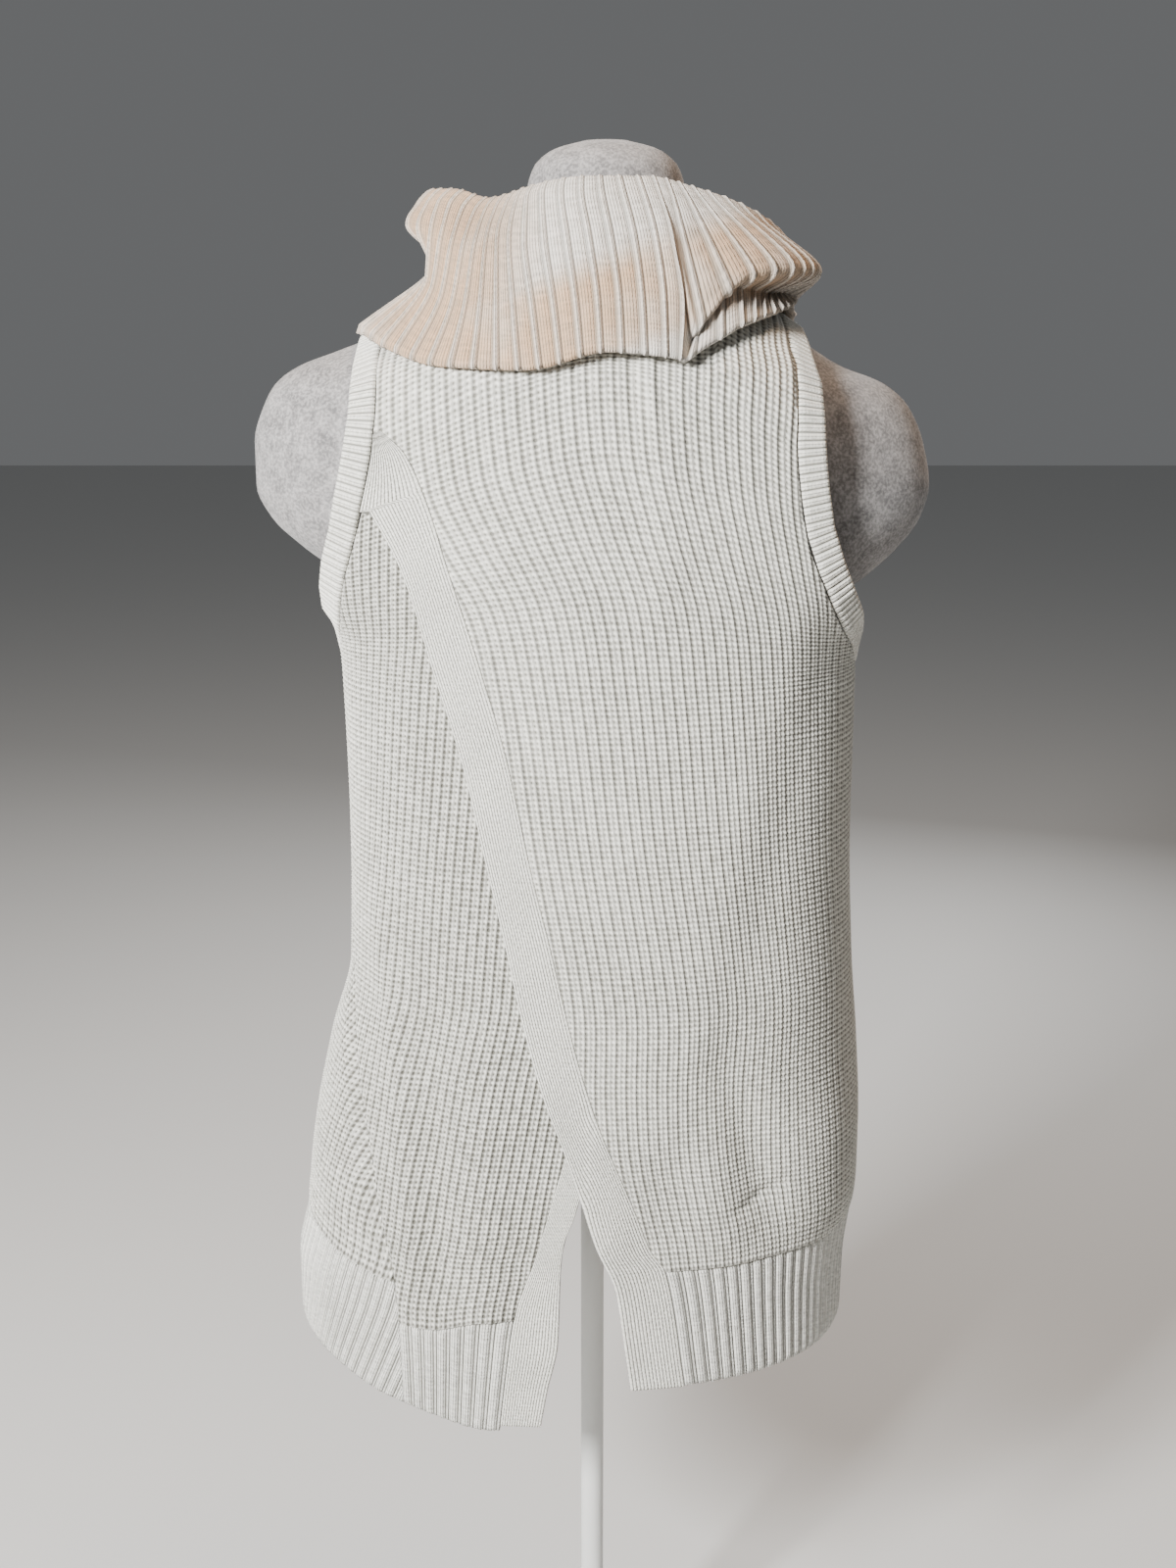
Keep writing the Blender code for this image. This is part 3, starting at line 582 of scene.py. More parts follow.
def wall(name: str, outer: np.ndarray, inner: np.ndarray, steps: tuple[int, int], stitches: np.ndarray,
         ring_closed: bool = False) -> bpy.types.Object:
    """A closed wall between a fine outer grid and every few points of an inner one.

    Args:
        name: the object's name.
        outer: outer face, rows by columns by 3, in mm.
        inner: inner face on the same rows and columns.
        steps: rows and columns of the outer face to one of the inner.
        stitches: the stitch map, rows by columns by 2.
        ring_closed: the columns run round and meet.

    Returns:
        The wall as an object.
    """
    if ring_closed:
        outer, inner = (np.concatenate([face, face[:, :1]], 1) for face in (outer, inner))
        ahead = stitches[:, -1:] * 2 - stitches[:, -2:-1]
        stitches = np.concatenate([stitches, ahead], 1)
    inner, inner_stitches = inner[::steps[0], ::steps[1]], stitches[::steps[0], ::steps[1]]
    fine = np.arange(outer.shape[0] * outer.shape[1]).reshape(outer.shape[:2])
    coarse = fine.size + np.arange(inner.shape[0] * inner.shape[1]).reshape(inner.shape[:2])
    rims = [rim_triangles(fine[row], coarse[row]) for row in (0, -1)]
    if not ring_closed:
        rims += [rim_triangles(fine[:, side], coarse[:, side]) for side in (0, -1)]
    points = np.concatenate([outer.reshape(-1, 3), inner.reshape(-1, 3)])
    both = np.concatenate([stitches.reshape(-1, 2), inner_stitches.reshape(-1, 2)])
    quads = np.concatenate([grid_quads(fine), grid_quads(coarse)])
    return add_mesh(name, points, (quads, np.concatenate(rims)), both)


def turned_mesh(name: str, points: np.ndarray) -> bpy.types.Object:
    """A closed mesh from a grid of points, where the outer columns coincide, and all points of an end row.

    Args:
        name: the object's name.
        points: places in mm, rows by columns by 3.

    Returns:
        The object.
    """
    numbers = np.arange(points.shape[0] * points.shape[1]).reshape(points.shape[:2])
    return add_mesh(name, points.reshape(-1, 3), (grid_quads(numbers),))


# ---- finishes ---------------------------------------------------------------------------------------
class Pattern(Enum):
    """How a knitted finish lays its stitches."""

    HALF_CARDIGAN = "half cardigan"
    PLAIN = "plain"


class Nodes:
    """A node tree with short calls for the nodes that the finishes use."""

    MIX_FIRST, MIX_SECOND, MIX_RESULT = 6, 7, 2    # numbers of a mix node's colour sockets

    def __init__(self, tree: bpy.types.NodeTree) -> None:
        """Keep the tree."""
        self.tree = tree

    def add(self, kind: str, **settings: object) -> bpy.types.Node:
        """Add a node and set its properties.

        Args:
            kind: Blender's name of the node.
            settings: value by property.

        Returns:
            The node.
        """
        node = self.tree.nodes.new(kind)
        for key, value in settings.items():
            setattr(node, key, value)
        return node

    def put(self, value: object, socket: bpy.types.NodeSocket) -> None:
        """Link a socket, or set a plain value.

        Args:
            value: the socket or value.
            socket: the input that takes it.
        """
        if isinstance(value, bpy.types.NodeSocket):
            self.tree.links.new(value, socket)
        else:
            socket.default_value = value

    def math(self, operation: str, first: object, second: object = 0.0) -> bpy.types.NodeSocket:
        """One step of arithmetic.

        Args:
            operation: Blender's name of the step.
            first: its first socket or value.
            second: its second one.

        Returns:
            The result's socket.
        """
        node = self.add("ShaderNodeMath", operation=operation)
        self.put(first, node.inputs[0])
        self.put(second, node.inputs[1])
        return node.outputs[0]

    def plus(self, first: object, second: object) -> bpy.types.NodeSocket:
        """A sum."""
        return self.math("ADD", first, second)

    def minus(self, first: object, second: object) -> bpy.types.NodeSocket:
        """A difference."""
        return self.math("SUBTRACT", first, second)

    def times(self, first: object, second: object) -> bpy.types.NodeSocket:
        """A product."""
        return self.math("MULTIPLY", first, second)

    def split(self, vector: object) -> bpy.types.NodeOutputs:
        """The three parts of a vector.

        Args:
            vector: the vector's socket.

        Returns:
            The sockets of its parts.
        """
        node = self.add("ShaderNodeSeparateXYZ")
        self.put(vector, node.inputs[0])
        return node.outputs

    def blend(self, share: object, first: object, second: object) -> bpy.types.NodeSocket:
        """Mix two colours.

        Args:
            share: how much of the second one, from 0 to 1.
            first: the first colour.
            second: the second colour.

        Returns:
            The mixed colour.
        """
        node = self.add("ShaderNodeMix", data_type="RGBA")
        self.put(share, node.inputs[0])
        self.put(first, node.inputs[self.MIX_FIRST])
        self.put(second, node.inputs[self.MIX_SECOND])
        return node.outputs[self.MIX_RESULT]

    def remap(self, value: object, low: float, high: float, to_low: float = 0.0,
              to_high: float = 1.0) -> bpy.types.NodeSocket:
        """A smooth step of a value from one range to another.

        Args:
            value: the value.
            low: where the step starts.
            high: where it ends.
            to_low: the result up to its start.
            to_high: the result from its end.

        Returns:
            The result.
        """
        node = self.add("ShaderNodeMapRange", interpolation_type="SMOOTHSTEP")
        for place, number in enumerate((value, low, high, to_low, to_high)):
            self.put(number, node.inputs[place])
        return node.outputs[0]

    def noise(self, place: object, scale: float, detail: float = 2.0) -> bpy.types.NodeSocket:
        """Noise at a place.

        Args:
            place: the place.
            scale: how fine the noise is.
            detail: how many finer layers it has.

        Returns:
            Its value.
        """
        node = self.add("ShaderNodeTexNoise")
        self.put(place, node.inputs["Vector"])
        node.inputs["Scale"].default_value = scale
        node.inputs["Detail"].default_value = detail
        return node.outputs["Fac"]

    def bump(self, height: object, strength: float, distance: float,
             below: bpy.types.NodeSocket | None = None) -> bpy.types.NodeSocket:
        """A bump, which may lie on another one.

        Args:
            height: its height, as a share of the distance.
            strength: how strongly it shows.
            distance: the distance in metres.
            below: the other bump's normal.

        Returns:
            Its normal.
        """
        node = self.add("ShaderNodeBump")
        node.inputs["Strength"].default_value = strength
        node.inputs["Distance"].default_value = distance
        self.put(height, node.inputs["Height"])
        if below is not None:
            self.put(below, node.inputs["Normal"])
        return node.outputs[0]

    def group(self, tree: bpy.types.NodeTree, **inputs: object) -> bpy.types.Node:
        """Place a node group.

        Args:
            tree: the group.
            inputs: value or socket by input name, with underscores for spaces.

        Returns:
            The group's node.
        """
        node = self.add("ShaderNodeGroup", node_tree=tree)
        for key, value in inputs.items():
            self.put(value, node.inputs[key.replace("_", " ")])
        return node


def new_group(name: str, inputs: dict[str, str], outputs: tuple[str, ...]) -> tuple[Nodes, dict, dict]:
    """Start a node group.

    Args:
        name: the group's name.
        inputs: socket kind by input name.
        outputs: names of its outputs, which are all single values.

    Returns:
        Its nodes, its input sockets by name and its output sockets by name.
    """
    tree = bpy.data.node_groups.new(name, "ShaderNodeTree")
    for key, kind in inputs.items():
        tree.interface.new_socket(key, in_out="INPUT", socket_type=kind)
    for key in outputs:
        tree.interface.new_socket(key, in_out="OUTPUT", socket_type="NodeSocketFloat")
    start, end = tree.nodes.new("NodeGroupInput"), tree.nodes.new("NodeGroupOutput")
    return (Nodes(tree), {key: start.outputs[key] for key in inputs},
            {key: end.inputs[key] for key in outputs})


def new_material(name: str, **values: object) -> tuple[bpy.types.Material, Nodes, bpy.types.Node]:
    """Start a material.

    Args:
        name: its name.
        values: what its shader's own sockets hold, by name with underscores for spaces.

    Returns:
        The material, its nodes and its shader.
    """
    made = bpy.data.materials.new(name)
    made.use_nodes = True
    shader = made.node_tree.nodes["Principled BSDF"]
    for key, value in values.items():
        shader.inputs[key.replace("_", " ")].default_value = value
    return made, Nodes(made.node_tree), shader


def near(nodes: Nodes, value: object, centre: float, width: float) -> bpy.types.NodeSocket:
    """How near a repeating value is to a place in its cell: exp(-(d / width) squared), d from the centre.

    Args:
        nodes: the tree to build in.
        value: the value, which repeats every whole number.
        centre: the place, from 0 to 1.
        width: how far from it the bell falls to about a third.

    Returns:
        The bell's height, 1 at the centre.
    """
    apart = nodes.minus(nodes.math("FRACT", nodes.plus(value, 0.5 - centre)), 0.5)
    far = nodes.math("DIVIDE", apart, width)
    return nodes.math("EXPONENT", nodes.times(nodes.times(far, far), -1.0))


def scaled(nodes: Nodes, value: object, least: float, gain: float) -> bpy.types.NodeSocket:
    """A value times gain, on top of a least value."""
    return nodes.plus(nodes.times(value, gain), least)


class StitchGroups:
    """The node groups that knitted finishes share."""

    LEGS = (0.25, 0.75)            # places of a wale's two legs in its cell
    LEG_WIDTH = 0.16
    LEG_LEAN = 0.6
    BEAD_LENGTH = 0.3
    BEAD_SHARE = (0.55, 0.45)      # least height of a leg, and what a bead adds
    # the holes, the inner lines and the space between beads are painted shade in Gap, and holes also sink the
    # height
    HOLE = (0.13, 0.34)            # width and length of a hole between wales
    HOLE_SHARE = (0.2, 0.7)
    HOLE_DEPTH = 0.6
    INNER = (0.085, 0.3)           # the same between the legs of a wale
    INNER_SHARE = (0.12, 0.42)
    BETWEEN_BEADS = 0.46
    YARN = (0.3, 0.7, 0.0)         # slow noise of uneven yarn, and the most that it darkens each pattern
    YARN_HALF_CARDIGAN = 0.26
    YARN_PLAIN = 0.5
    NOISE_HALF_CARDIGAN = (1.1, 1.0)    # scale and detail, as in each noise below
    NOISE_PLAIN = (1.3, 2.0)
    PLAIN_LEAN = 1.4
    PLAIN_SIDE = 0.14
    PLAIN_BEAD = (0.35, 0.65)      # what a bead adds to a column, and its least height
    PLAIN_BEAD_LIGHT = 0.4
    FIBRES = (1500.0, 3.0)
    UNEVEN = (28.0, 2.0)
    PATCHES = (17.0, 2.0)
    WARM_LIGHT_LEFT = (-0.02, -0.075)     # between these places, in metres, the painted warm light comes in
    WARM_LIGHT_RIGHT = (0.05, 0.11, 0.0, 0.35)
    WARM_LIGHT_SLOPE = 0.35
    WARM_LIGHT_TOP = (1.052, 1.030)
    WARM_LIGHT_BOTTOM = (0.982, 0.996)
    WARM_LIGHT_PATCHES = (0.30, 0.52, 0.55, 1.0)

    def __init__(self) -> None:
        """Build each group once."""
        self.half_cardigan = self._half_cardigan()
        self.plain = self._plain()
        self.fuzz = self._fuzz()
        self.wear_and_warm_light = self._painted_warm_light()

    def _half_cardigan(self) -> bpy.types.NodeTree:
        """Fat wales of two leaning legs each, with a ladder of painted shade between wales.

        A cell of the stitch map is one wale wide and one course high. The legs are bells at a quarter and
        three quarters of it, broken into one bead for each course. The ladder is a narrow bell at the cell's
        side, and holes sit on it between its rungs.

        Returns:
            The group, with outputs Height and Gap. Gap is painted shade between the stitches, with darker
            uneven yarn.
        """
        nodes, given, out = new_group("half cardigan stitches", {"Stitches": "NodeSocketVector"},
                                      ("Height", "Gap"))
        across, up, _ = nodes.split(given["Stitches"])
        cell = nodes.math("FRACT", across)
        lean = nodes.times(nodes.math("ABSOLUTE", nodes.minus(cell, 0.5)), self.LEG_LEAN)
        bead = near(nodes, nodes.plus(up, lean), 0.0, self.BEAD_LENGTH)
        legs = nodes.plus(*(near(nodes, across, leg, self.LEG_WIDTH) for leg in self.LEGS))
        body = nodes.times(legs, scaled(nodes, bead, *self.BEAD_SHARE))
        # painted shade: holes between wales, the line between a wale's legs and the space between beads
        hole = nodes.times(near(nodes, across, 0.0, self.HOLE[0]),
                           scaled(nodes, near(nodes, up, 0.5, self.HOLE[1]), *self.HOLE_SHARE))
        inner = nodes.times(near(nodes, across, 0.5, self.INNER[0]),
                            scaled(nodes, near(nodes, up, 0.5, self.INNER[1]), *self.INNER_SHARE))
        between = nodes.times(nodes.minus(1.0, bead), self.BETWEEN_BEADS)
        noise = nodes.noise(given["Stitches"], *self.NOISE_HALF_CARDIGAN)
        yarn = nodes.remap(noise, *self.YARN, self.YARN_HALF_CARDIGAN)
        gap = nodes.plus(nodes.plus(nodes.plus(hole, inner), between), yarn)
        nodes.put(nodes.math("MINIMUM", gap, 1.0), out["Gap"])
        nodes.put(nodes.minus(body, nodes.times(hole, self.HOLE_DEPTH)), out["Height"])
        return nodes.tree

    def _plain(self) -> bpy.types.NodeTree:
        """Fine plain knitting: columns of small V stitches.

        Columns divides a cell of the map into fine columns. Each is a round ridge across, and its courses
        lean up from its middle to its sides.

        Returns:
            The group, with outputs Height and Gap. Gap is painted shade at the sides of the columns, less
            on the beads, with darker uneven yarn.
        """
        nodes, given, out = new_group("plain stitches", {"Stitches": "NodeSocketVector",
                                                         "Columns": "NodeSocketFloat"}, ("Height", "Gap"))
        place, up, _ = nodes.split(given["Stitches"])
        across = nodes.times(place, given["Columns"])
        cell = nodes.math("ABSOLUTE", nodes.minus(nodes.math("FRACT", across), 0.5))
        bead = near(nodes, nodes.plus(up, nodes.times(cell, self.PLAIN_LEAN)), 0.0, self.BEAD_LENGTH)
        # painted shade at the sides of each fine column, less where a bead lies
        side = near(nodes, across, 0.0, self.PLAIN_SIDE)
        gain, least = self.PLAIN_BEAD
        nodes.put(nodes.times(nodes.minus(1.0, side), scaled(nodes, bead, least, gain)), out["Height"])
        yarn = nodes.remap(nodes.noise(given["Stitches"], *self.NOISE_PLAIN), *self.YARN, self.YARN_PLAIN)
        light = nodes.minus(1.0, nodes.times(bead, self.PLAIN_BEAD_LIGHT))
        nodes.put(nodes.plus(yarn, nodes.times(side, light)), out["Gap"])
        return nodes.tree

    def _fuzz(self) -> bpy.types.NodeTree:
        """Loose wool: fine noise for its fibres, and slow noise for uneven yarn.

        Returns:
            The group, with outputs Fibre and Uneven.
        """
        nodes, given, out = new_group("wool fuzz", {"Place": "NodeSocketVector"}, ("Fibre", "Uneven"))
        nodes.put(nodes.noise(given["Place"], *self.FIBRES), out["Fibre"])
        nodes.put(nodes.noise(given["Place"], *self.UNEVEN), out["Uneven"])
        return nodes.tree

    def _painted_warm_light(self) -> bpy.types.NodeTree:
        """Painted warm light on the collar: down its left side, in a sloping low band and faintly right.

        Returns:
            The group, with output Share.
        """
        nodes, given, out = new_group("painted warm light", {"Place": "NodeSocketVector"}, ("Share",))
        across, _, height = nodes.split(given["Place"])
        slope = nodes.minus(height, nodes.times(across, self.WARM_LIGHT_SLOPE))
        left = nodes.remap(across, *self.WARM_LIGHT_LEFT)
        low = nodes.times(nodes.remap(slope, *self.WARM_LIGHT_TOP), nodes.remap(slope, *self.WARM_LIGHT_BOTTOM))
        right = nodes.remap(across, *self.WARM_LIGHT_RIGHT)
        patches = nodes.remap(nodes.noise(given["Place"], *self.PATCHES), *self.WARM_LIGHT_PATCHES)
        wear_and_warm_light = nodes.math("MAXIMUM", nodes.math("MAXIMUM", left, low), right)
        nodes.put(nodes.times(wear_and_warm_light, patches), out["Share"])
        return nodes.tree


@dataclass(frozen=True)
class KnitFinish:
    """Cream wool in one stitch pattern.

    Heights are in metres. Grooves run along the ribs, at these places across a cell of the stitch map, and get
    painted shade, as the spaces between the stitches do. Painted warm light tints the wool where it is asked
    for, less along the thin ridge of each collar rib.
    """

    name: str
    groups: StitchGroups
    pattern: Pattern
    light: tuple[float, float, float] = (0.91, 0.895, 0.82)
    # the colour of the painted shade between stitches and in grooves
    shade: tuple[float, float, float] = (0.12, 0.115, 0.095)
    # painted warm light: its colour, whether it is painted, and how much less it shows on each rib's ridge
    warm_light_tint: tuple[float, float, float] = (0.59, 0.385, 0.235)
    paints_warm_light: bool = False
    warm_light_channel: tuple[float, float] = (0.13, -0.7)
    columns: float = 1.0
    stitch_height: float = 0.0007
    stitch_strength: float = 0.9
    fibre_height: float = 0.0002
    fibre_strength: float = 0.5
    uneven: tuple[float, float, float, float] = (0.2, 0.8, 0.0, 0.10)
    gap_shade_share: float = 0.85
    groove: tuple[float, ...] = ()
    groove_width: float = 0.05
    groove_shade_share: float = 0.75

    def material(self) -> bpy.types.Material:
        """Build the material: wool colour with painted shade between stitches and in grooves, and a bump
        of stitches and fibres.

        Returns:
            The material.
        """
        made, nodes, shader = new_material(self.name, Roughness=0.9, Specular_IOR_Level=0.25,
                                           Sheen_Weight=0.22, Sheen_Roughness=0.5)
        stitch_map = nodes.add("ShaderNodeUVMap", uv_map=STITCH_MAP).outputs[0]
        place = nodes.add("ShaderNodeTexCoord").outputs["Object"]
        fuzz = nodes.group(self.groups.fuzz, Place=place)
        if self.pattern is Pattern.HALF_CARDIGAN:
            stitches = nodes.group(self.groups.half_cardigan, Stitches=stitch_map)
        else:
            stitches = nodes.group(self.groups.plain, Stitches=stitch_map, Columns=self.columns)
        height, gap = stitches.outputs["Height"], nodes.times(stitches.outputs["Gap"], self.gap_shade_share)
        across = nodes.split(stitch_map)[0]
        # painted shade along each groove, which is also lowered in the bump
        for centre in self.groove:
            line = near(nodes, across, centre, self.groove_width)
            gap = nodes.math("MAXIMUM", gap, nodes.times(line, self.groove_shade_share))
            height = nodes.minus(height, line)
        colour: object = (*self.light, 1)
        if self.paints_warm_light:
            wear_and_warm_light = nodes.group(self.groups.wear_and_warm_light, Place=place)
            width, gain = self.warm_light_channel
            channel = scaled(nodes, near(nodes, across, RIDGE_PLACE, width), 1.0, gain)
            # painted warm light: a warm tint over the collar's wool, weaker on each rib's thin ridge
            colour = nodes.blend(nodes.times(wear_and_warm_light.outputs["Share"], channel), colour, (*self.warm_light_tint, 1))
        uneven = nodes.remap(fuzz.outputs["Uneven"], *self.uneven)
        # painted shade between stitches and in grooves, with uneven yarn, darkens the wool towards the shade
        # colour
        dark = nodes.math("MINIMUM", nodes.plus(gap, uneven), 1.0)
        nodes.put(nodes.blend(dark, colour, (*self.shade, 1)), shader.inputs["Base Color"])
        relief = nodes.bump(height, self.stitch_strength, self.stitch_height)
        fibres = nodes.bump(fuzz.outputs["Fibre"], self.fibre_strength, self.fibre_height, relief)
        nodes.put(fibres, shader.inputs["Normal"])
        return made


@dataclass(frozen=True)
class FeltFinish:
    """Heathered grey felt of the dress form."""

    name: str = "heathered_felt"
    light: tuple[float, float, float] = (0.345, 0.33, 0.325)
    dark: tuple[float, float, float] = (0.13, 0.125, 0.125)
    fleck: tuple[float, float] = (520.0, 4.0)
    cloud: tuple[float, float] = (90.0, 3.0)
    nap: tuple[float, float] = (700.0, 4.0)
    nap_strength: float = 0.55
    nap_height: float = 0.0006
    fleck_range: tuple[float, float] = (0.36, 0.66)
    fleck_share: float = 0.65
    cloud_range: tuple[float, float, float, float] = (0.3, 0.7, 0.0, 0.4)

    def material(self) -> bpy.types.Material:
        """Build the material: fibres of two greys in tangled noise, and a soft nap.

        Returns:
            The material.
        """
        made, nodes, shader = new_material(self.name, Roughness=0.95, Specular_IOR_Level=0.2,
                                           Sheen_Weight=0.15, Sheen_Roughness=0.6)
        place = nodes.add("ShaderNodeTexCoord").outputs["Object"]
        fleck = nodes.remap(nodes.noise(place, *self.fleck), *self.fleck_range)
        cloud = nodes.remap(nodes.noise(place, *self.cloud), *self.cloud_range)
        share = nodes.math("MINIMUM", nodes.plus(nodes.times(fleck, self.fleck_share), cloud), 1.0)
        nodes.put(nodes.blend(share, (*self.dark, 1), (*self.light, 1)), shader.inputs["Base Color"])
        nap = nodes.bump(nodes.noise(place, *self.nap), self.nap_strength, self.nap_height)
        nodes.put(nap, shader.inputs["Normal"])
        return made


@dataclass(frozen=True)
class PaintFinish:
    """Pale satin paint of the stand."""

    name: str = "satin_paint"
    colour: tuple[float, float, float] = (0.70, 0.70, 0.68)
    worn_share: float = 0.9
    rubbed: tuple[float, float] = (14.0, 4.0)
    roughness: tuple[float, float, float, float] = (0.3, 0.7, 0.34, 0.46)
    peel: tuple[float, float] = (420.0, 1.0)
    peel_strength: float = 0.2
    peel_height: float = 0.0002

    def material(self) -> bpy.types.Material:
        """Build the material: paint with a faint orange-peel bump and rubbed patches.

        Returns:
            The material.
        """
        made, nodes, shader = new_material(self.name)
        place = nodes.add("ShaderNodeTexCoord").outputs["Object"]
        rubbed = nodes.noise(place, *self.rubbed)
        wear_and_warm_light = tuple(value * self.worn_share for value in self.colour)
        nodes.put(nodes.blend(rubbed, (*self.colour, 1), (*wear_and_warm_light, 1)), shader.inputs["Base Color"])
        nodes.put(nodes.remap(rubbed, *self.roughness), shader.inputs["Roughness"])
        peel = nodes.bump(nodes.noise(place, *self.peel), self.peel_strength, self.peel_height)
        nodes.put(peel, shader.inputs["Normal"])
        return made


# ---- knitted pieces ---------------------------------------------------------------------------------
@dataclass
class Sheet:
    """What a piece of cloth says about itself: its cut and how it is held."""

    flat: tuple[float, float]
    area: float
    held: str
    rests_on: tuple[str, ...]


def hand_over(piece: bpy.types.Object, node: str, finish: bpy.types.Material) -> None:
    """Dress a piece, set it to ride on the part and let it stand for its CAD node.

    Args:
        piece: the new object.
        node: the CAD node that it replaces.
        finish: its material.
    """
    piece.data.materials.append(finish)
    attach(piece, "root")
    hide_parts(node)


@dataclass
class Panel:
    """A half-cardigan panel whose wales run from the hem ribs to the shoulder.

    Each guide is a wale's number and its length from the middle of the back or the front at each level, and
    the wales between two guides divide their span evenly. Where the panel is narrower than its guides, its
    edges cut the wales off, as a shaped panel does.

    Reach is a span of turns that holds the whole panel. The last fields are in mm: the seams' creases and how
    wide they are, how near an edge the stitches and the folds fade, and the swell just above the hem ribs and
    the heights above them where it fades.
    """

    node: str
    start: Line
    end: Line
    lift: Callable[[np.ndarray, np.ndarray], np.ndarray]
    guides: tuple[tuple[int, Curve], ...]
    reach: tuple[float, float]
    sheet: Sheet
    front: bool = False
    bottom: Line = HEM_RIBS
    lowest: float = LOWEST_ROW
    top_row: float = TOP_ROW
    folds: tuple[Fold, ...] = ()
    course: float = 3.5
    samples: int = 4
    inner_step: int = 8
    relief: tuple[tuple[float, float], ...] = ((0.0, -0.85), (0.25, 0.25), (0.5, -0.4), (0.75, 0.25))
    beads: tuple[tuple[float, float], ...] = ((0.0, 0.05), (0.25, 0.46), (0.5, 0.16), (0.75, 0.46))
    end_courses: float = 1.5
    crease: float = 0.7
    crease_width: float = 2.5
    stitches_fade: float = 2.0
    folds_fade: float = 14.0
    swell: float = 0.9
    swell_fade: tuple[float, float] = (6.0, 22.0)

    def rows(self) -> np.ndarray:
        """Levels of the rows, half a course apart along a line up the panel beside its middle.

        Returns:
            The levels, from the lowest.
        """
        levels = np.linspace(self.lowest, self.top_row, ROW_STEPS)
        turn = 1 - ROW_TURN if self.front else ROW_TURN
        points = BODY.point(np.full_like(levels, turn), levels)
        length = run_lengths(points)
        count = ROWS_PER_COURSE * self.inner_step * int(round(length[-1] / self.course / self.inner_step))
        return np.interp(np.linspace(0, length[-1], count + 1), length, levels)

    def levels(self, rows: np.ndarray, turn: np.ndarray) -> np.ndarray:
        """Levels of the rows at these turns: the lowest rows are drawn to the top of the hem ribs.

        Args:
            rows: levels of the rows.
            turn: turns round the body.

        Returns:
            The levels.
        """
        share = (rows - HEM_BLEND) / (self.lowest - HEM_BLEND)
        return np.where(rows < HEM_BLEND, HEM_BLEND + share * (self.bottom(turn) - HEM_BLEND), rows)

    def grid(self) -> tuple[np.ndarray, np.ndarray, np.ndarray, np.ndarray]:
        """Turns, levels, the stitch map and the length to the nearer cut edge.

        For each row the two edges are turned into lengths along the ring. The columns divide the spans
        between the guides, and those outside an edge are moved onto it.

        Returns:
            Turns, levels and lengths by row and column, and the map with wales and courses last.
        """
        rows = self.rows()
        numbers = np.array([number for number, _ in self.guides], float)
        lengths = np.stack([curve(rows) for _, curve in self.guides], -1)
        columns = np.arange(int(numbers[-1]) * self.samples + 1) / self.samples
        ends = []
        for edge in (self.start, self.end):
            turn = edge(rows)
            for _ in range(FIT_PASSES):
                turn = edge(self.levels(rows, turn))
            ends.append(turn)
        turns = np.empty((len(rows), len(columns)))
        wales, inside = np.empty_like(turns), np.empty_like(turns)
        for number, row in enumerate(rows):
            table, length = BODY.arc(row, *self.reach, FRONT_MIDDLE if self.front else BACK_MIDDLE)
            low, high = np.interp([ends[0][number], ends[1][number]], table, length)
            places = np.clip(np.interp(columns, numbers, lengths[number]), low, high)
            wales[number] = np.interp(places, lengths[number], numbers)
            inside[number] = np.minimum(places - low, high - places)
            turns[number] = np.clip(np.interp(places, length, table), ends[0][number], ends[1][number])
        courses = np.broadcast_to(np.arange(len(rows))[:, None] / ROWS_PER_COURSE, turns.shape)
        return turns, self.levels(rows[:, None], turns), np.stack([wales, courses], -1), inside

    def build(self) -> bpy.types.Object:
        """Build the wall: wales as ridges two legs wide, beaded by the courses, over a plain inside.

        Returns:
            The panel as an object.
        """
        turn, level, stitches, inside = self.grid()
        wale, course = stitches[..., 0], stitches[..., 1]
        last = course.max()
        relief = periodic(self.relief, wale)
        relief = relief + periodic(self.beads, wale) * np.cos(2 * math.pi * course)
        relief = relief * ease(course, 0, self.end_courses)
        relief = relief * (1 - ease(course, last - self.end_courses, last))
        relief = relief * ease(inside, 0, self.stitches_fade)
        relief = relief - self.crease * (1 - ease(inside, 0, self.crease_width))
        share = ease(inside, 0, self.folds_fade)
        lift = self.lift(turn, level)
        foot, head = (self.bottom(turn) + rise for rise in self.swell_fade)
        swell = self.swell * (1 - ease(level, foot, head))
        outer = BODY.raised(turn, level, lift + WALL + relief + swell, self.folds, share)
        inner = BODY.raised(turn, level, lift, self.folds, share)
        return wall(self.node, outer, inner, (self.inner_step, self.samples), stitches)


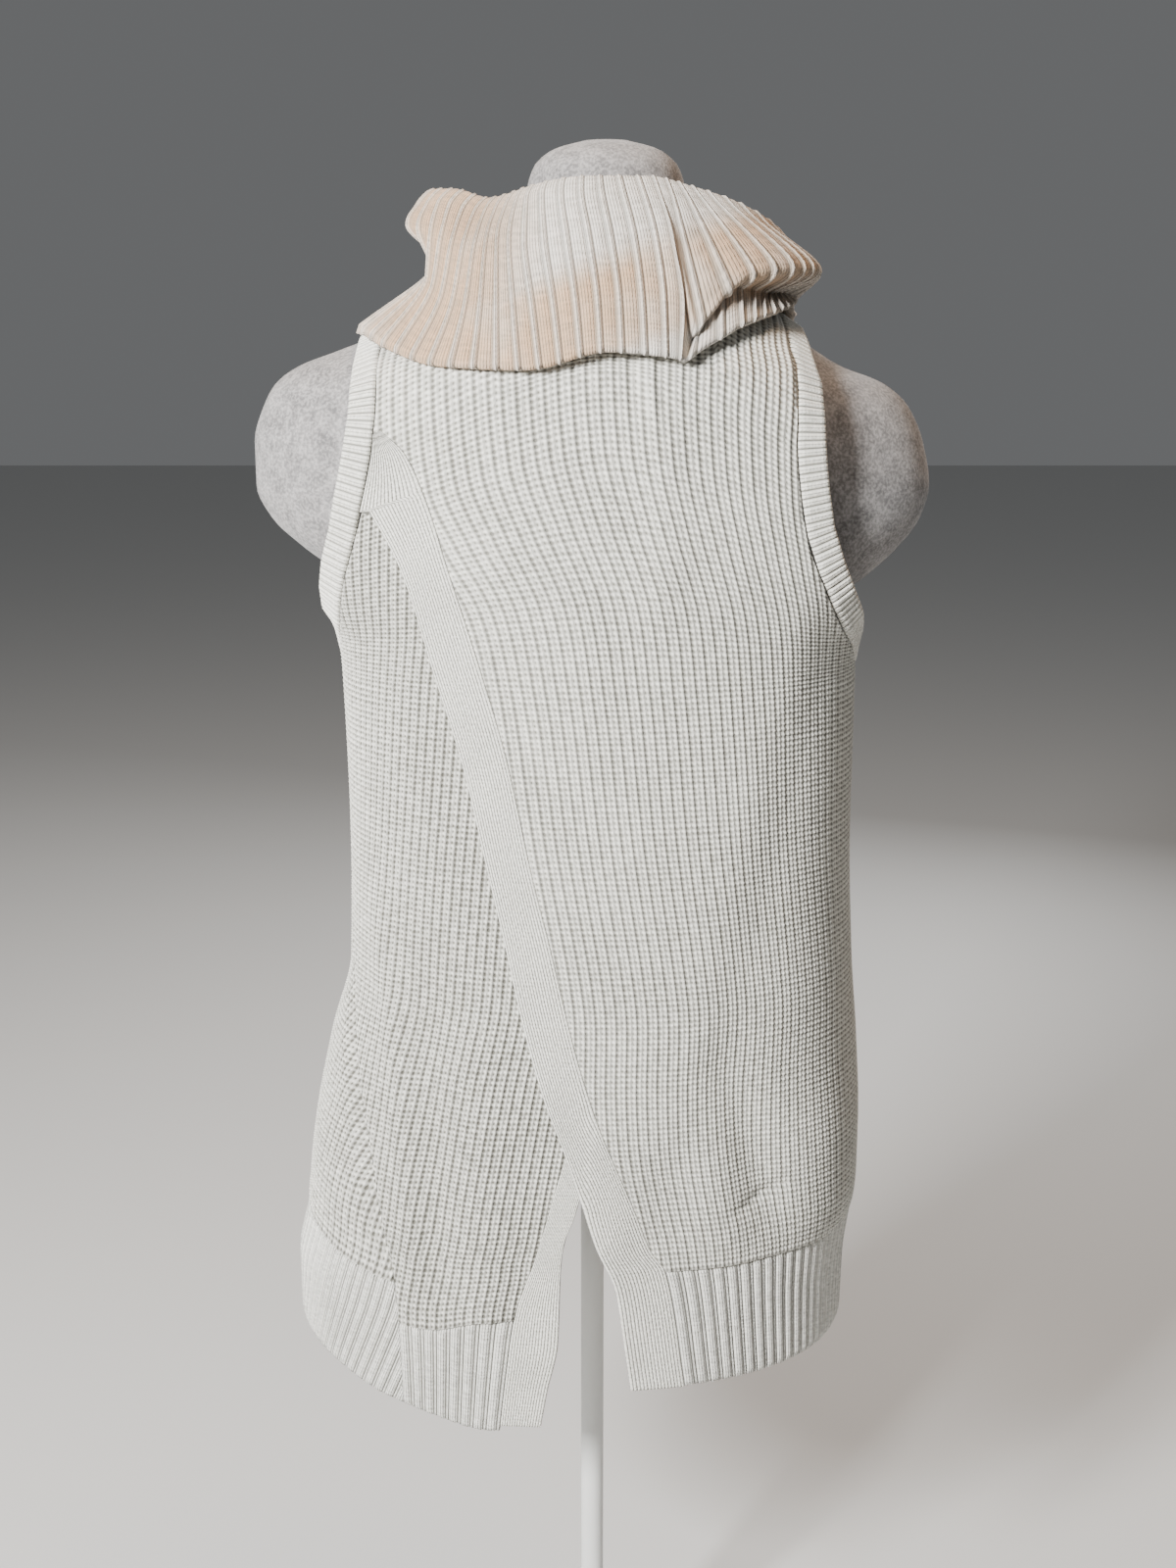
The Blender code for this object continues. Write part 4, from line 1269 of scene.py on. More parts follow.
@dataclass
class SmoothBand:
    """The smooth, finely lined band along the slanting edge of a back panel.

    Each edge is rounded off: its depth in mm, and the place across the band up to or from which it falls.
    """

    node: str
    left: Line
    right: Line
    lift: Callable[[np.ndarray, np.ndarray], np.ndarray]
    bottom: float
    top: float
    sheet: Sheet
    rows: int = 320
    lines: int = 16
    samples: int = 4
    inner_step: int = 8
    course: float = 2.4
    profile: tuple[tuple[float, float], ...] = ((0.0, -0.30), (0.25, 0.05), (0.5, 0.12), (0.75, 0.05))
    right_edge: tuple[float, float] = (0.5, 0.04)
    left_edge: tuple[float, float] = (0.7, 0.95)

    def build(self) -> bpy.types.Object:
        """Build the wall: a grid between two edges, with a shallow groove between its lines.

        Returns:
            The band as an object.
        """
        rows = np.linspace(self.bottom, self.top, self.rows + 1)[:, None]
        across = np.linspace(0, 1, self.lines * self.samples + 1)[None, :]
        level = rows + 0 * across
        turn = self.right(level) * (1 - across) + self.left(level) * across
        column = across * self.lines + 0 * rows
        stitches = np.stack([column, np.broadcast_to(rows / self.course, column.shape)], -1)
        (right_depth, right_end), (left_depth, left_start) = self.right_edge, self.left_edge
        edge = -right_depth * (1 - ease(across, 0, right_end)) - left_depth * ease(across, left_start, 1.0)
        lift = self.lift(turn, level)
        outer = BODY.raised(turn, level, lift + WALL + periodic(self.profile, column) + edge)
        inner = BODY.raised(turn, level, lift)
        return wall(self.node, outer, inner, (self.inner_step, self.samples), stitches)


@dataclass
class RibbedHem:
    """A hem of upright ribs: each is a wide flat rib, and a thin ridge between two grooves.

    Some ribs lean over from the places in lean_from, as a share of the hem's length. The fades are shares of
    its length or height, and the lower edge is scalloped by a few tenths of a mm.
    """

    node: str
    left: Line
    right: Line
    lift: Callable[[np.ndarray, np.ndarray], np.ndarray]
    ribs_start: Line
    sheet: Sheet
    lean: float = 0.0
    lean_from: tuple[float, float] = (0.6, 0.85)
    pitch: float = 8.6
    rows: int = 32
    samples: int = 10
    inner_step: int = 4
    course: float = 2.6
    end_fade: float = 0.992
    foot_fade: float = 0.06
    head_fade: float = 0.97
    edge_share: float = 0.5
    scallop: float = 0.5
    profile: tuple[tuple[float, float], ...] = (
        (0.0, -1.1), (0.1, 0.3), (0.15, 0.3), (0.25, -1.1), (0.35, 0.6), (0.45, 1.15), (0.6, 1.4),
        (0.75, 1.4), (0.85, 1.1), (0.93, 0.5))

    def build(self) -> bpy.types.Object:
        """Build the wall between the sweater's lower edge and the line where its ribs start.

        Returns:
            The hem as an object.
        """
        middle = np.array([HEM_MIDDLE])
        span = float(self.left(middle)[0] - self.right(middle)[0])
        ribs = int(round(abs(span) * BODY.girth(HEM_MIDDLE) / self.pitch))
        across = np.linspace(0, 1, self.samples * ribs + 1)[None, :]
        up = np.linspace(0, 1, self.rows + 1)[:, None]
        leaning = across + self.lean * ease(across, *self.lean_from) * up
        place = np.clip(leaning, 0, 1)
        level = HEM_MIDDLE + 0 * place
        for _ in range(FIT_PASSES):
            turn = self.right(level) * (1 - place) + self.left(level) * place
            bottom, top = HEM_BOTTOM(turn), self.ribs_start(turn) - 3 * SEAM
            level = bottom + (top - bottom) * up
        rib = across * ribs + 0 * up
        shape = periodic(self.profile, rib) * (1 - ease(leaning, self.end_fade, 1.0))
        edge = ease(up, 0, self.foot_fade) * (1 - self.edge_share * ease(up, self.head_fade, 1.0))
        scallop = self.scallop * (shape > 0) * (1 - up)
        lift = self.lift(turn, level)
        outer = BODY.raised(turn, level - scallop, lift + WALL - self.edge_share * (1 - edge) + shape * edge)
        inner = BODY.raised(turn, level, lift)
        stitches = np.stack([rib, (level - bottom) / self.course], -1)
        return wall(self.node, outer, inner, (self.inner_step, self.samples), stitches)


@dataclass
class ArmholeBand:
    """A ribbed strip round an armhole, sewn to the body's edge and reaching into the hole.

    The seam has a point at each level up the back and the front, and under_steps more under the arm. Normals
    are evened out in rounding_passes, and the seam's direction spans tangent_reach half ribs each way.
    """

    node: str
    curve: Curve
    sign: int
    lift: Callable[[np.ndarray, np.ndarray], np.ndarray]
    sheet: Sheet
    width: float = 18.0
    pitch: float = 4.9
    levels: tuple[float, ...] = (80, 80.7, 82, 84.5, 88, 93, 100, 112, 125, 150, 175, 200, 225, 245, 260, 272,
                                 284, 296, 308, 319, 329.9)
    under_steps: int = 8
    rounding_passes: int = 12
    tangent_reach: int = 3
    rows: int = 10
    samples: int = 6
    inner_step: int = 5
    course: float = 2.2
    profile: tuple[tuple[float, float], ...] = (
        (0.0, -0.7), (0.17, 0.25), (0.33, 0.7), (0.5, 0.75), (0.67, 0.7), (0.83, 0.25))
    edge_fade: tuple[float, float] = (0.14, 0.9)
    edge_depth: float = 0.8

    def build(self) -> bpy.types.Object:
        """Build the strip: the seam's loop is evened out, then carried into the hole across its normal.

        Returns:
            The band as an object.
        """
        rise = np.array(self.levels)
        back, front = BODY.edge(self.curve)(rise), BODY.edge(self.curve, front=True)(rise)
        under = np.linspace(front[0] - (front[0] > FRONT_MIDDLE), back[0], self.under_steps + 1)[:-1]
        levels = np.concatenate([rise, rise[:0:-1], np.full_like(under, rise[0])])
        turns = np.concatenate([back, front[:0:-1], under])
        on_back = np.arange(len(levels)) < len(rise)
        seam = BODY.raised(turns, levels, np.where(on_back, self.lift(turns, levels), 0.0))
        normal = BODY.normal(turns, levels)
        loop, loop_normal = np.vstack([seam, seam[:1]]), np.vstack([normal, normal[:1]])
        along = run_lengths(loop)
        ribs = 2 * int(round(along[-1] / self.pitch / 2))
        places = np.arange(2 * ribs) / (2 * ribs) * along[-1]
        seam = np.stack([np.interp(places, along, loop[:, axis]) for axis in range(3)], -1)
        normal = np.stack([np.interp(places, along, loop_normal[:, axis]) for axis in range(3)], -1)
        for _ in range(self.rounding_passes):
            normal = (np.roll(normal, 1, 0) + 2 * normal + np.roll(normal, -1, 0)) / 4
        normal /= np.linalg.norm(normal, axis=1, keepdims=True)
        along_seam = np.roll(seam, -self.tangent_reach, 0) - np.roll(seam, self.tangent_reach, 0)
        into_hole = np.cross(along_seam, normal) * self.sign
        into_hole /= np.linalg.norm(into_hole, axis=1, keepdims=True)
        rib = np.arange(ribs * self.samples) / self.samples
        seam, normal, into_hole = (self.spread(value, rib * 2) for value in (seam, normal, into_hole))
        reach = np.linspace(2 * SEAM, self.width, self.rows + 1)[:, None]
        across = (reach - reach[0]) / (reach[-1] - reach[0])
        edge = ease(across, 0, self.edge_fade[0]) * (1 - ease(across, self.edge_fade[1], 1.0))
        rise_out = WALL + periodic(self.profile, rib)[None, :] * edge - self.edge_depth * (1 - edge)
        strip = seam[None] + into_hole[None] * reach[..., None]
        outer = strip + normal[None] * rise_out[..., None]
        stitches = np.stack([rib[None, :] + 0 * across, reach / self.course + 0 * rib[None, :]], -1)
        return wall(self.node, outer, strip, (self.inner_step, self.samples), stitches, ring_closed=True)

    @staticmethod
    def spread(values: np.ndarray, places: np.ndarray) -> np.ndarray:
        """Read a closed loop of vectors between its points, as straight lines.

        Args:
            values: one vector for each point of the loop.
            places: numbers of points, whole or between.

        Returns:
            The vectors there.
        """
        count = len(values)
        low = np.floor(places).astype(int) % count
        share = (places - np.floor(places))[:, None]
        return values[low] * (1 - share) + values[(low + 1) % count] * share


@dataclass
class Collar:
    """The tall ribbed collar, folded over at its crest.

    Each row of the table has a rib's number, then azimuth, radius and height of four places along it: the
    crest, the swell below it, the tuck and the free edge. Places along a rib, such as outside, neck_side and
    the fades, count from 0 at the neckline to 4.7 at the free edge.
    """

    sheet: Sheet
    node: str = "collar"
    ribs: int = 56
    samples: int = 12
    profile: tuple[tuple[float, float], ...] = (
        (0.0, 0.25), (0.083, 0.1), (0.167, -0.4), (0.25, 0.9), (0.333, 2.0), (0.417, 0.9),
        (0.5, -0.5), (0.583, -0.2), (0.667, 0.1), (0.75, 0.4), (0.833, 0.5), (0.917, 0.4))
    room: float = 2.2
    foot_step: float = 1.0
    crest_in: tuple[float, float] = (-3.0, -10.0)
    crest_out: tuple[float, float] = (7.0, -7.0)
    crest_mix: tuple[float, float] = (0.8, 0.2)
    neck_margin: float = 2.0
    least_depth: float = 1e-6
    rows: int = 81
    inner_step: int = 2
    course: float = 2.4
    strength: tuple[float, float, float] = (0.45, 0.55, 0.3)
    outside: tuple[float, float] = (1.7, 3.2)
    neck_side: tuple[float, float] = (0.6, 0.2)
    edge_fade: float = 0.04
    edge_depth: float = 0.9
    droop_from: float = 0.35
    droop: float = 0.9
    least_flatness: float = 0.4
    table: tuple[tuple[float, ...], ...] = (
        (-14, -24, 108, 340, -25, 130, 320, -26, 128, 300, -28, 134, 286),
        (-11, -6, 108, 342, -6, 129, 322, -6, 112, 308, -6, 118, 307),
        (-8, 13, 100, 352, 11, 129, 325, 12, 106, 313, 17, 114, 303),
        (-5, 32, 84, 364, 23, 121, 326, 23, 102, 312, 35, 115, 298.5),
        (-2.5, 46, 69, 371, 41.5, 109, 322, 41, 100, 314, 48.5, 115, 292),
        (-1.8, 50, 66, 372.5, 48, 107, 315, 47.5, 100, 311, 54.4, 115.5, 287),
        (-1.1, 54, 63, 374, 56.5, 109, 303, 56, 103, 300, 61.5, 116, 281),
        (-0.4, 58, 61, 375, 63, 112, 290, 63.5, 107, 286, 68, 117.5, 273.5),
        (0.5, 64, 58, 376, 65.5, 85, 343, 67, 104, 306, 70, 117, 275),
        (4, 102, 54, 376, 95, 77, 343, 91, 98, 308, 90, 112, 279),
        (8, 146, 57, 371, 131, 82, 341, 119, 103, 302, 113, 119, 269),
        (12, 168, 72, 366, 152, 92, 341, 142, 110, 306, 136, 136, 271),
        (15, 180, 92, 372, 170, 104, 348, 162, 110, 320, 153, 145, 280),
        (18, 194, 112, 373, 188, 123, 354, 180, 100, 331, 169, 152, 289),
        (21, 210, 121, 365, 208, 126, 350, 200, 103, 327, 187, 152, 287),
        (25, 234, 112, 350, 232, 126, 328, 222, 124, 296, 212, 146, 262),
        (29, 258, 108, 338, 256, 124, 318, 252, 132, 282, 248, 146, 246),
        (33, 282, 106, 334, 280, 124, 312, 280, 134, 278, 282, 146, 244),
        (37, 306, 106, 332, 304, 126, 312, 304, 132, 284, 306, 142, 250))
    places: tuple[float, ...] = (0, 1.0, 1.35, 1.7, 2.7, 3.7, 4.7)

    @staticmethod
    def foot(azimuth: np.ndarray) -> np.ndarray:
        """Points of the body's top edge round the neck.

        Args:
            azimuth: places round the neck in radians, from the right towards the back.

        Returns:
            The points.
        """
        x = NECK_MIDDLE + NECK_OPENING * np.cos(azimuth)
        level = np.full_like(x, SHOULDER)
        turn = np.where(np.sin(azimuth) > 0, BODY.turn_at(x, level), BODY.turn_at(x, level, front=True))
        return BODY.point(turn, level)

    def knots(self, rib: np.ndarray) -> np.ndarray:
        """The seven places that each rib's line passes, from the neckline over the crest to the free edge.

        The table is read a second time one round further on, with 360 degrees added to its azimuths.

        Args:
            rib: rib numbers, whole or between.

        Returns:
            Points by place, rib and axis.
        """
        wrapped = tuple((row[0] + self.ribs, *[value + (360 if n % 3 == 0 else 0)
                                               for n, value in enumerate(row[1:])]) for row in self.table)
        rows = self.table + wrapped
        keys = tuple(row[0] for row in rows)
        read = [Curve(keys, tuple(row[n] for row in rows))(rib) for n in range(1, 13)]
        crest, swell, tuck, free = (read[n:n + 3] for n in (0, 3, 6, 9))
        foot = self.foot(np.radians(crest[0]))
        foot_radius = np.hypot(foot[:, 0] - NECK_MIDDLE, foot[:, 1])
        between = crest[0] * self.crest_mix[0] + swell[0] * self.crest_mix[1]
        line = [(crest[0], foot_radius + self.foot_step, foot[:, 2] + WALL + 4 * SEAM),
                (crest[0], crest[1] + self.crest_in[0], crest[2] + self.crest_in[1]), crest,
                (between, crest[1] + self.crest_out[0], crest[2] + self.crest_out[1]), swell, tuck, free]
        return np.array([[NECK_MIDDLE + radius * np.cos(np.radians(turned)),
                          -radius * np.sin(np.radians(turned)), height] for turned, radius, height in line]
                        ).transpose(0, 2, 1)

    def yoke_top(self, x: np.ndarray, y: np.ndarray) -> tuple[np.ndarray, np.ndarray]:
        """The body's top under the collar: the shoulder turn, solved for its height by the depth there.

        Args:
            x: places across.
            y: places from front to back.

        Returns:
            Heights on the shoulders (far below elsewhere), and how flat the body is there, from 0 to 1.
        """
        middle, half, square = BODY.ring(np.full_like(x, SHOULDER))
        side = np.clip(1 - np.abs((x - middle) / half) ** square, 0, 1) ** (1 / square)
        share = np.abs(y) / np.maximum(BODY.back(np.full_like(x, SHOULDER)) * side, self.least_depth)
        flatness = np.sqrt(np.clip(1 - share ** 2, 0, 1))
        height = BODY.ridge(x) - ROUND_HEIGHT * (1 - flatness)
        opening = np.hypot(x - NECK_MIDDLE, y) < NECK_OPENING - self.neck_margin
        return np.where(opening | (share > 1), -MIDDLE, height), np.maximum(flatness, self.least_flatness)

    def build(self) -> bpy.types.Object:
        """Build the collar: a line for every column, ribs raised along it, and room over the yoke.

        Returns:
            The collar as an object.
        """
        rib = np.arange(self.ribs * self.samples) / self.samples
        knots = self.knots(rib)
        place = np.linspace(0, self.places[-1], self.rows)
        middle = smooth_through(np.asarray(self.places), knots, place)
        room = np.where(place == 0, self.room / 2, self.room)[:, None]
        top, flatness = self.yoke_top(middle[..., 0], middle[..., 1])
        middle[..., 2] = np.maximum(middle[..., 2], top + (WALL + room) / flatness)
        along = np.gradient(middle, axis=0)
        across = np.roll(middle, -self.samples, axis=1) - np.roll(middle, self.samples, axis=1)
        normal = np.cross(across, along)
        normal /= np.linalg.norm(normal, axis=2, keepdims=True)
        shape = periodic(self.profile, rib)
        edge = (1 - ease(place, place[-1] - self.edge_fade, place[-1]))[:, None]
        least, outside, neck_side = self.strength
        strength = least + outside * ease(place, *self.outside) + neck_side * ease(place, *self.neck_side)
        rise = WALL / 2 + shape[None, :] * strength[:, None] * edge - self.edge_depth * (1 - edge)
        outer = middle + normal * rise[..., None]
        droop = (shape * ease(place, place[-1] - self.droop_from, place[-1])[:, None])[..., None]
        outer = outer + droop * along / np.linalg.norm(along, axis=2, keepdims=True) * self.droop
        length = run_lengths(middle.mean(axis=1))
        stitches = np.stack(np.broadcast_arrays(rib[None, :], length[:, None] / self.course), -1)
        return wall(self.node, outer, middle - normal * (WALL / 2), (self.inner_step, self.samples // 3),
                    stitches, ring_closed=True)


# ---- the sweater ------------------------------------------------------------------------------------
UNDER_FOLDS = (Fold(-132, -60, -112, -300, 9, 3.5), Fold(-104, -110, -98, -330, 13, -3.5),
               Fold(-70, -150, -66, -330, 16, 3.0))
OVER_FOLDS = (Fold(85, -150, 112, -262, 15, -4.5), Fold(150, -190, 150, -285, 26, 4.5),
              Fold(70, -200, 84, -288, 20, 3.0), Fold(40, 270, 44, 130, 12, 2.0),
              Fold(-60, 210, 20, 40, 30, 2.0), Fold(20, 285, 26, 244, 4, -2.2, 12),
              Fold(29, 282, 36, 240, 4, 1.6, 12), Fold(38, 280, 42, 236, 4, -1.8, 12),
              Fold(-60, 110, -27, 10, 7, -1.6, 30), Fold(120, -238, 92, -252, 9, -2.5, 10))
FRONT_FOLDS = (Fold(-120, 60, -150, -270, 24, 4.0), Fold(-70, 20, -80, -285, 20, -4.5),
               Fold(-20, -40, -15, -280, 22, 4.0), Fold(50, 40, 65, -280, 20, -4.5),
               Fold(105, 60, 120, -275, 24, 4.0), Fold(-100, 190, -30, 60, 24, 2.5),
               Fold(100, 190, 40, 70, 24, -2.5))
# a guide: a wale's number, and its length from the panel's middle by level
OVER_GUIDES = ((0, Curve((-285, -200, -100, 0, 80, 330), (-250, -247, -240, -234, -233, -233))),
               (46, Curve((-285, -200, -100, 0, 80, 130, 175, 220, 270, 330),
                          (8, 38, 50, 67, 78, 89, 110, 126, 130, 130))))
UNDER_GUIDES = ((0, Curve((-285, 330), (-58, -118))), (56, Curve((-285, 330), (292, 222))))
FRONT_GUIDES = ((0, Curve((-285, -120, -60, 330), (-380, -430, -450, -450))),
                (28, Curve((-285, 330), (-190, -190))), (55, Curve((-285, 330), (0, 0))),
                (88, Curve((-285, -240, 80, 330), (249, 249, 232, 232))))


@dataclass
class Sweater:
    """All the knitted pieces, each made on its own CAD node's surface."""

    groups: StitchGroups
    slot: str = "cream_knit"

    def panels(self) -> list[Panel]:
        """The two crossed back panels and the front.

        Returns:
            The upper back panel, the lower one and the front panel.
        """
        right_seam = joined(along_level(0.0), BODY.edge(ARMHOLE_RIGHT, aside=-SEAM), UNDERARM)
        over_left = joined(BODY.edge(OVER_INNER), BODY.edge(ARMHOLE_LEFT, aside=SEAM), OVER_BAND_LAST)
        left_line = BODY.edge(LEFT_SEAM)
        under_left = joined(left_line, BODY.edge(ARMHOLE_LEFT, aside=SEAM), UNDERARM)
        front_right = joined(along_level(1.0), BODY.edge(ARMHOLE_RIGHT, True, -SEAM), UNDERARM)
        front_left = joined(left_line, BODY.edge(ARMHOLE_LEFT, True, SEAM), UNDERARM)
        over = Panel("back_over_panel", right_seam, over_left, over_lift, OVER_GUIDES, (-0.002, 0.5),
                     Sheet((0.31, 0.61), 0.160, "hung", ("dress_form", "back_under_panel")),
                     folds=OVER_FOLDS)
        under = Panel("back_under_panel", BODY.edge(UNDER_INNER), under_left, under_lift, UNDER_GUIDES,
                      (-0.002, 0.502), Sheet((0.26, 0.58), 0.110, "hung", ("dress_form",)),
                      bottom=UNDER_RIBS, lowest=-327.0, top_row=245.0, folds=UNDER_FOLDS)
        front = Panel("front_panel", front_left, front_right, under_lift, FRONT_GUIDES, (0.3, 1.002),
                      Sheet((0.46, 0.63), 0.270, "hung", ("dress_form",)), front=True,
                      folds=FRONT_FOLDS, course=3.6)
        return [over, under, front]

    def bands(self) -> list[SmoothBand]:
        """The smooth bands along the slanting edges of the two back panels.

        Returns:
            The band of the upper panel, then that of the lower one.
        """
        over_outer = joined(BODY.edge(OVER_OUTER), BODY.edge(ARMHOLE_LEFT, aside=SEAM), OVER_OUTER_TOP)
        return [
            SmoothBand("over_band", over_outer, BODY.edge(OVER_INNER), over_lift, OVER_BAND_FOOT,
                       OVER_BAND_LAST,
                       Sheet((0.031, 0.67), 0.0190, "hung", ("dress_form", "back_under_panel"))),
            SmoothBand("under_band", BODY.edge(UNDER_INNER), BODY.edge(UNDER_OUTER), under_lift,
                       UNDER_BAND_FOOT, UNDER_BAND_TOP,
                       Sheet((0.026, 0.60), 0.0155, "hung", ("dress_form",)))]

    def hems(self) -> list[RibbedHem]:
        """The ribbed hems of the three panels.

        Returns:
            The hems of the upper back panel, the lower one and the front.
        """
        left_line = BODY.edge(LEFT_SEAM)
        return [
            RibbedHem("hem_over_panel", BODY.edge(OVER_INNER), along_level(0.0), over_lift,
                      HEM_RIBS, Sheet((0.22, 0.082), 0.0180, "hung", ("back_over_panel",))),
            RibbedHem("hem_under_panel", left_line, BODY.edge(UNDER_INNER), under_lift,
                      UNDER_RIBS, Sheet((0.10, 0.075), 0.0055, "hung", ("back_under_panel",))),
            RibbedHem("hem_front_panel", left_line, along_level(1.0), under_lift,
                      HEM_RIBS, Sheet((0.75, 0.085), 0.0580, "hung", ("front_panel",)), lean=0.055)]

    def armholes(self) -> list[ArmholeBand]:
        """The ribbed bands round the two armholes.

        Returns:
            The right one, then the left one.
        """
        return [
            ArmholeBand("armhole_band_right", ARMHOLE_RIGHT, 1, over_lift,
                        Sheet((0.66, 0.019), 0.0120, "hung", ("dress_form",))),
            ArmholeBand("armhole_band_left", ARMHOLE_LEFT, -1, left_armhole_lift,
                        Sheet((0.62, 0.019), 0.0112, "hung", ("dress_form",)))]

    def build(self) -> None:
        """Build and dress every piece."""
        wales = KnitFinish("half_cardigan_wool", self.groups, Pattern.HALF_CARDIGAN,
                           stitch_height=0.0011).material()
        # the under and front panels: the same wool with stronger painted shade between its stitches
        under = KnitFinish("under_panel_wool", self.groups, Pattern.HALF_CARDIGAN, stitch_height=0.0015,
                           gap_shade_share=1.0).material()
        band = KnitFinish("smooth_band_wool", self.groups, Pattern.PLAIN, stitch_height=0.0006,
                          gap_shade_share=0.7).material()
        ribs = KnitFinish("hem_rib_wool", self.groups, Pattern.PLAIN, light=(0.85, 0.84, 0.785), columns=5.0,
                          stitch_height=0.0006, gap_shade_share=0.65, groove=(0.0, 0.25), groove_width=0.055,
                          groove_shade_share=0.9).material()
        arm = KnitFinish("armhole_rib_wool", self.groups, Pattern.PLAIN, columns=2.0, stitch_height=0.0005,
                         gap_shade_share=0.5, groove=(0.0,), groove_width=0.12).material()
        # the collar: the same cream wool, painted darker and warmer as shade and warm light, with more painted
        # warm light where asked
        fold = KnitFinish("collar_wool", self.groups, Pattern.PLAIN, light=(0.71, 0.665, 0.61), columns=7.0,
                          stitch_height=0.0005, gap_shade_share=0.55, paints_warm_light=True, groove=(0.16, 0.5),
                          groove_width=0.05, groove_shade_share=0.7).material()
        collar = Collar(Sheet((0.70, 0.19), 0.100, "folded", ("front_panel", "back_over_panel")))
        over_panel, under_panel, front_panel = self.panels()
        dressed: list[tuple[list, bpy.types.Material]] = [
            ([over_panel], wales), ([under_panel, front_panel], under), (self.bands(), band),
            (self.hems(), ribs), (self.armholes(), arm), ([collar], fold)]
        for pieces, finish in dressed:
            for piece in pieces:
                hand_over(piece.build(), piece.node, finish)


# ---- the dress form and its stand -------------------------------------------------------------------
@dataclass
class DressForm:
    """The felt-covered form: a smooth stack of ovals from its flat bottom to the top of its neck.

    Up to its shoulders the ovals have a left and a right end and a half depth. Over the shoulders they end
    where the ridge, less the clearance to the cloth, has their height. On the neck they are round.
    """

    sides: int = 144
    rows: int = 180
    clearance: float = 0.8
    ridge_span: tuple[float, float] = (-200, 180)
    ridge_samples: int = 400
    top_rise: float = 1.2
    heights: tuple[float, ...] = (-190, -186, -150, -95, -35, 30, 90, 122, 140, 157, 175, 195, 222, 245, 258)
    left: tuple[float, ...] = (-138, -143, -146, -130, -116, -126, -141, -148, -162, -184, -203, -212, -212,
                               -205, -197)
    right: tuple[float, ...] = (142, 147, 150, 134, 120, 130, 145, 154, 176, 194, 207, 212, 207, 196, 180)
    depth: tuple[float, ...] = (96, 100, 102, 92, 82, 86, 92, 92, 91, 90, 89, 88, 85, 79, 74)
    ridge_steps: tuple[float, ...] = (268, 277, 286, 296, 306, 316)
    ridge_depths: tuple[float, ...] = (66, 58, 51, 46, 41, 40)
    neck: tuple[tuple[float, float], ...] = (
        (326, 45), (340, 47), (372, 48), (386, 44), (396, 32), (401, 14))

    def build(self) -> bpy.types.Object:
        """Build the form: each size is a smooth curve along the outline's length, and both ends close.

        Returns:
            The form as an object.
        """
        ovals = list(zip(self.heights, self.left, self.right, self.depth))
        reach = np.linspace(*self.ridge_span, self.ridge_samples)
        ridge = BODY.ridge(reach) - self.clearance
        for height, depth in zip(self.ridge_steps, self.ridge_depths):
            inside = reach[ridge >= height]
            ovals.append((height, inside[0], inside[-1], depth))
        for height, radius in self.neck:
            ovals.append((height, NECK_MIDDLE - radius, NECK_MIDDLE + radius, radius))
        table = np.array(ovals, float)
        steps = np.abs(np.diff(table, axis=0)).max(axis=1)
        along = np.concatenate([[0], np.cumsum(steps)])
        place = np.linspace(0, along[-1], self.rows)
        height, left, right, depth = (Curve(tuple(along), tuple(table[:, n]))(place)[:, None]
                                      for n in range(4))
        angle = np.arange(self.sides + 1)[None, :] / self.sides * 2 * math.pi
        ring = np.stack([(left + right) / 2 + (right - left) / 2 * np.cos(angle), -depth * np.sin(angle),
                         height + 0 * angle], -1)
        ends = [np.broadcast_to(ring[end].mean(axis=0) + (0, 0, lift), ring[end].shape)[None]
                for end, lift in ((0, 0.0), (-1, self.top_rise))]
        return turned_mesh("dress_form", np.concatenate([ends[0], ring, ends[1]]))


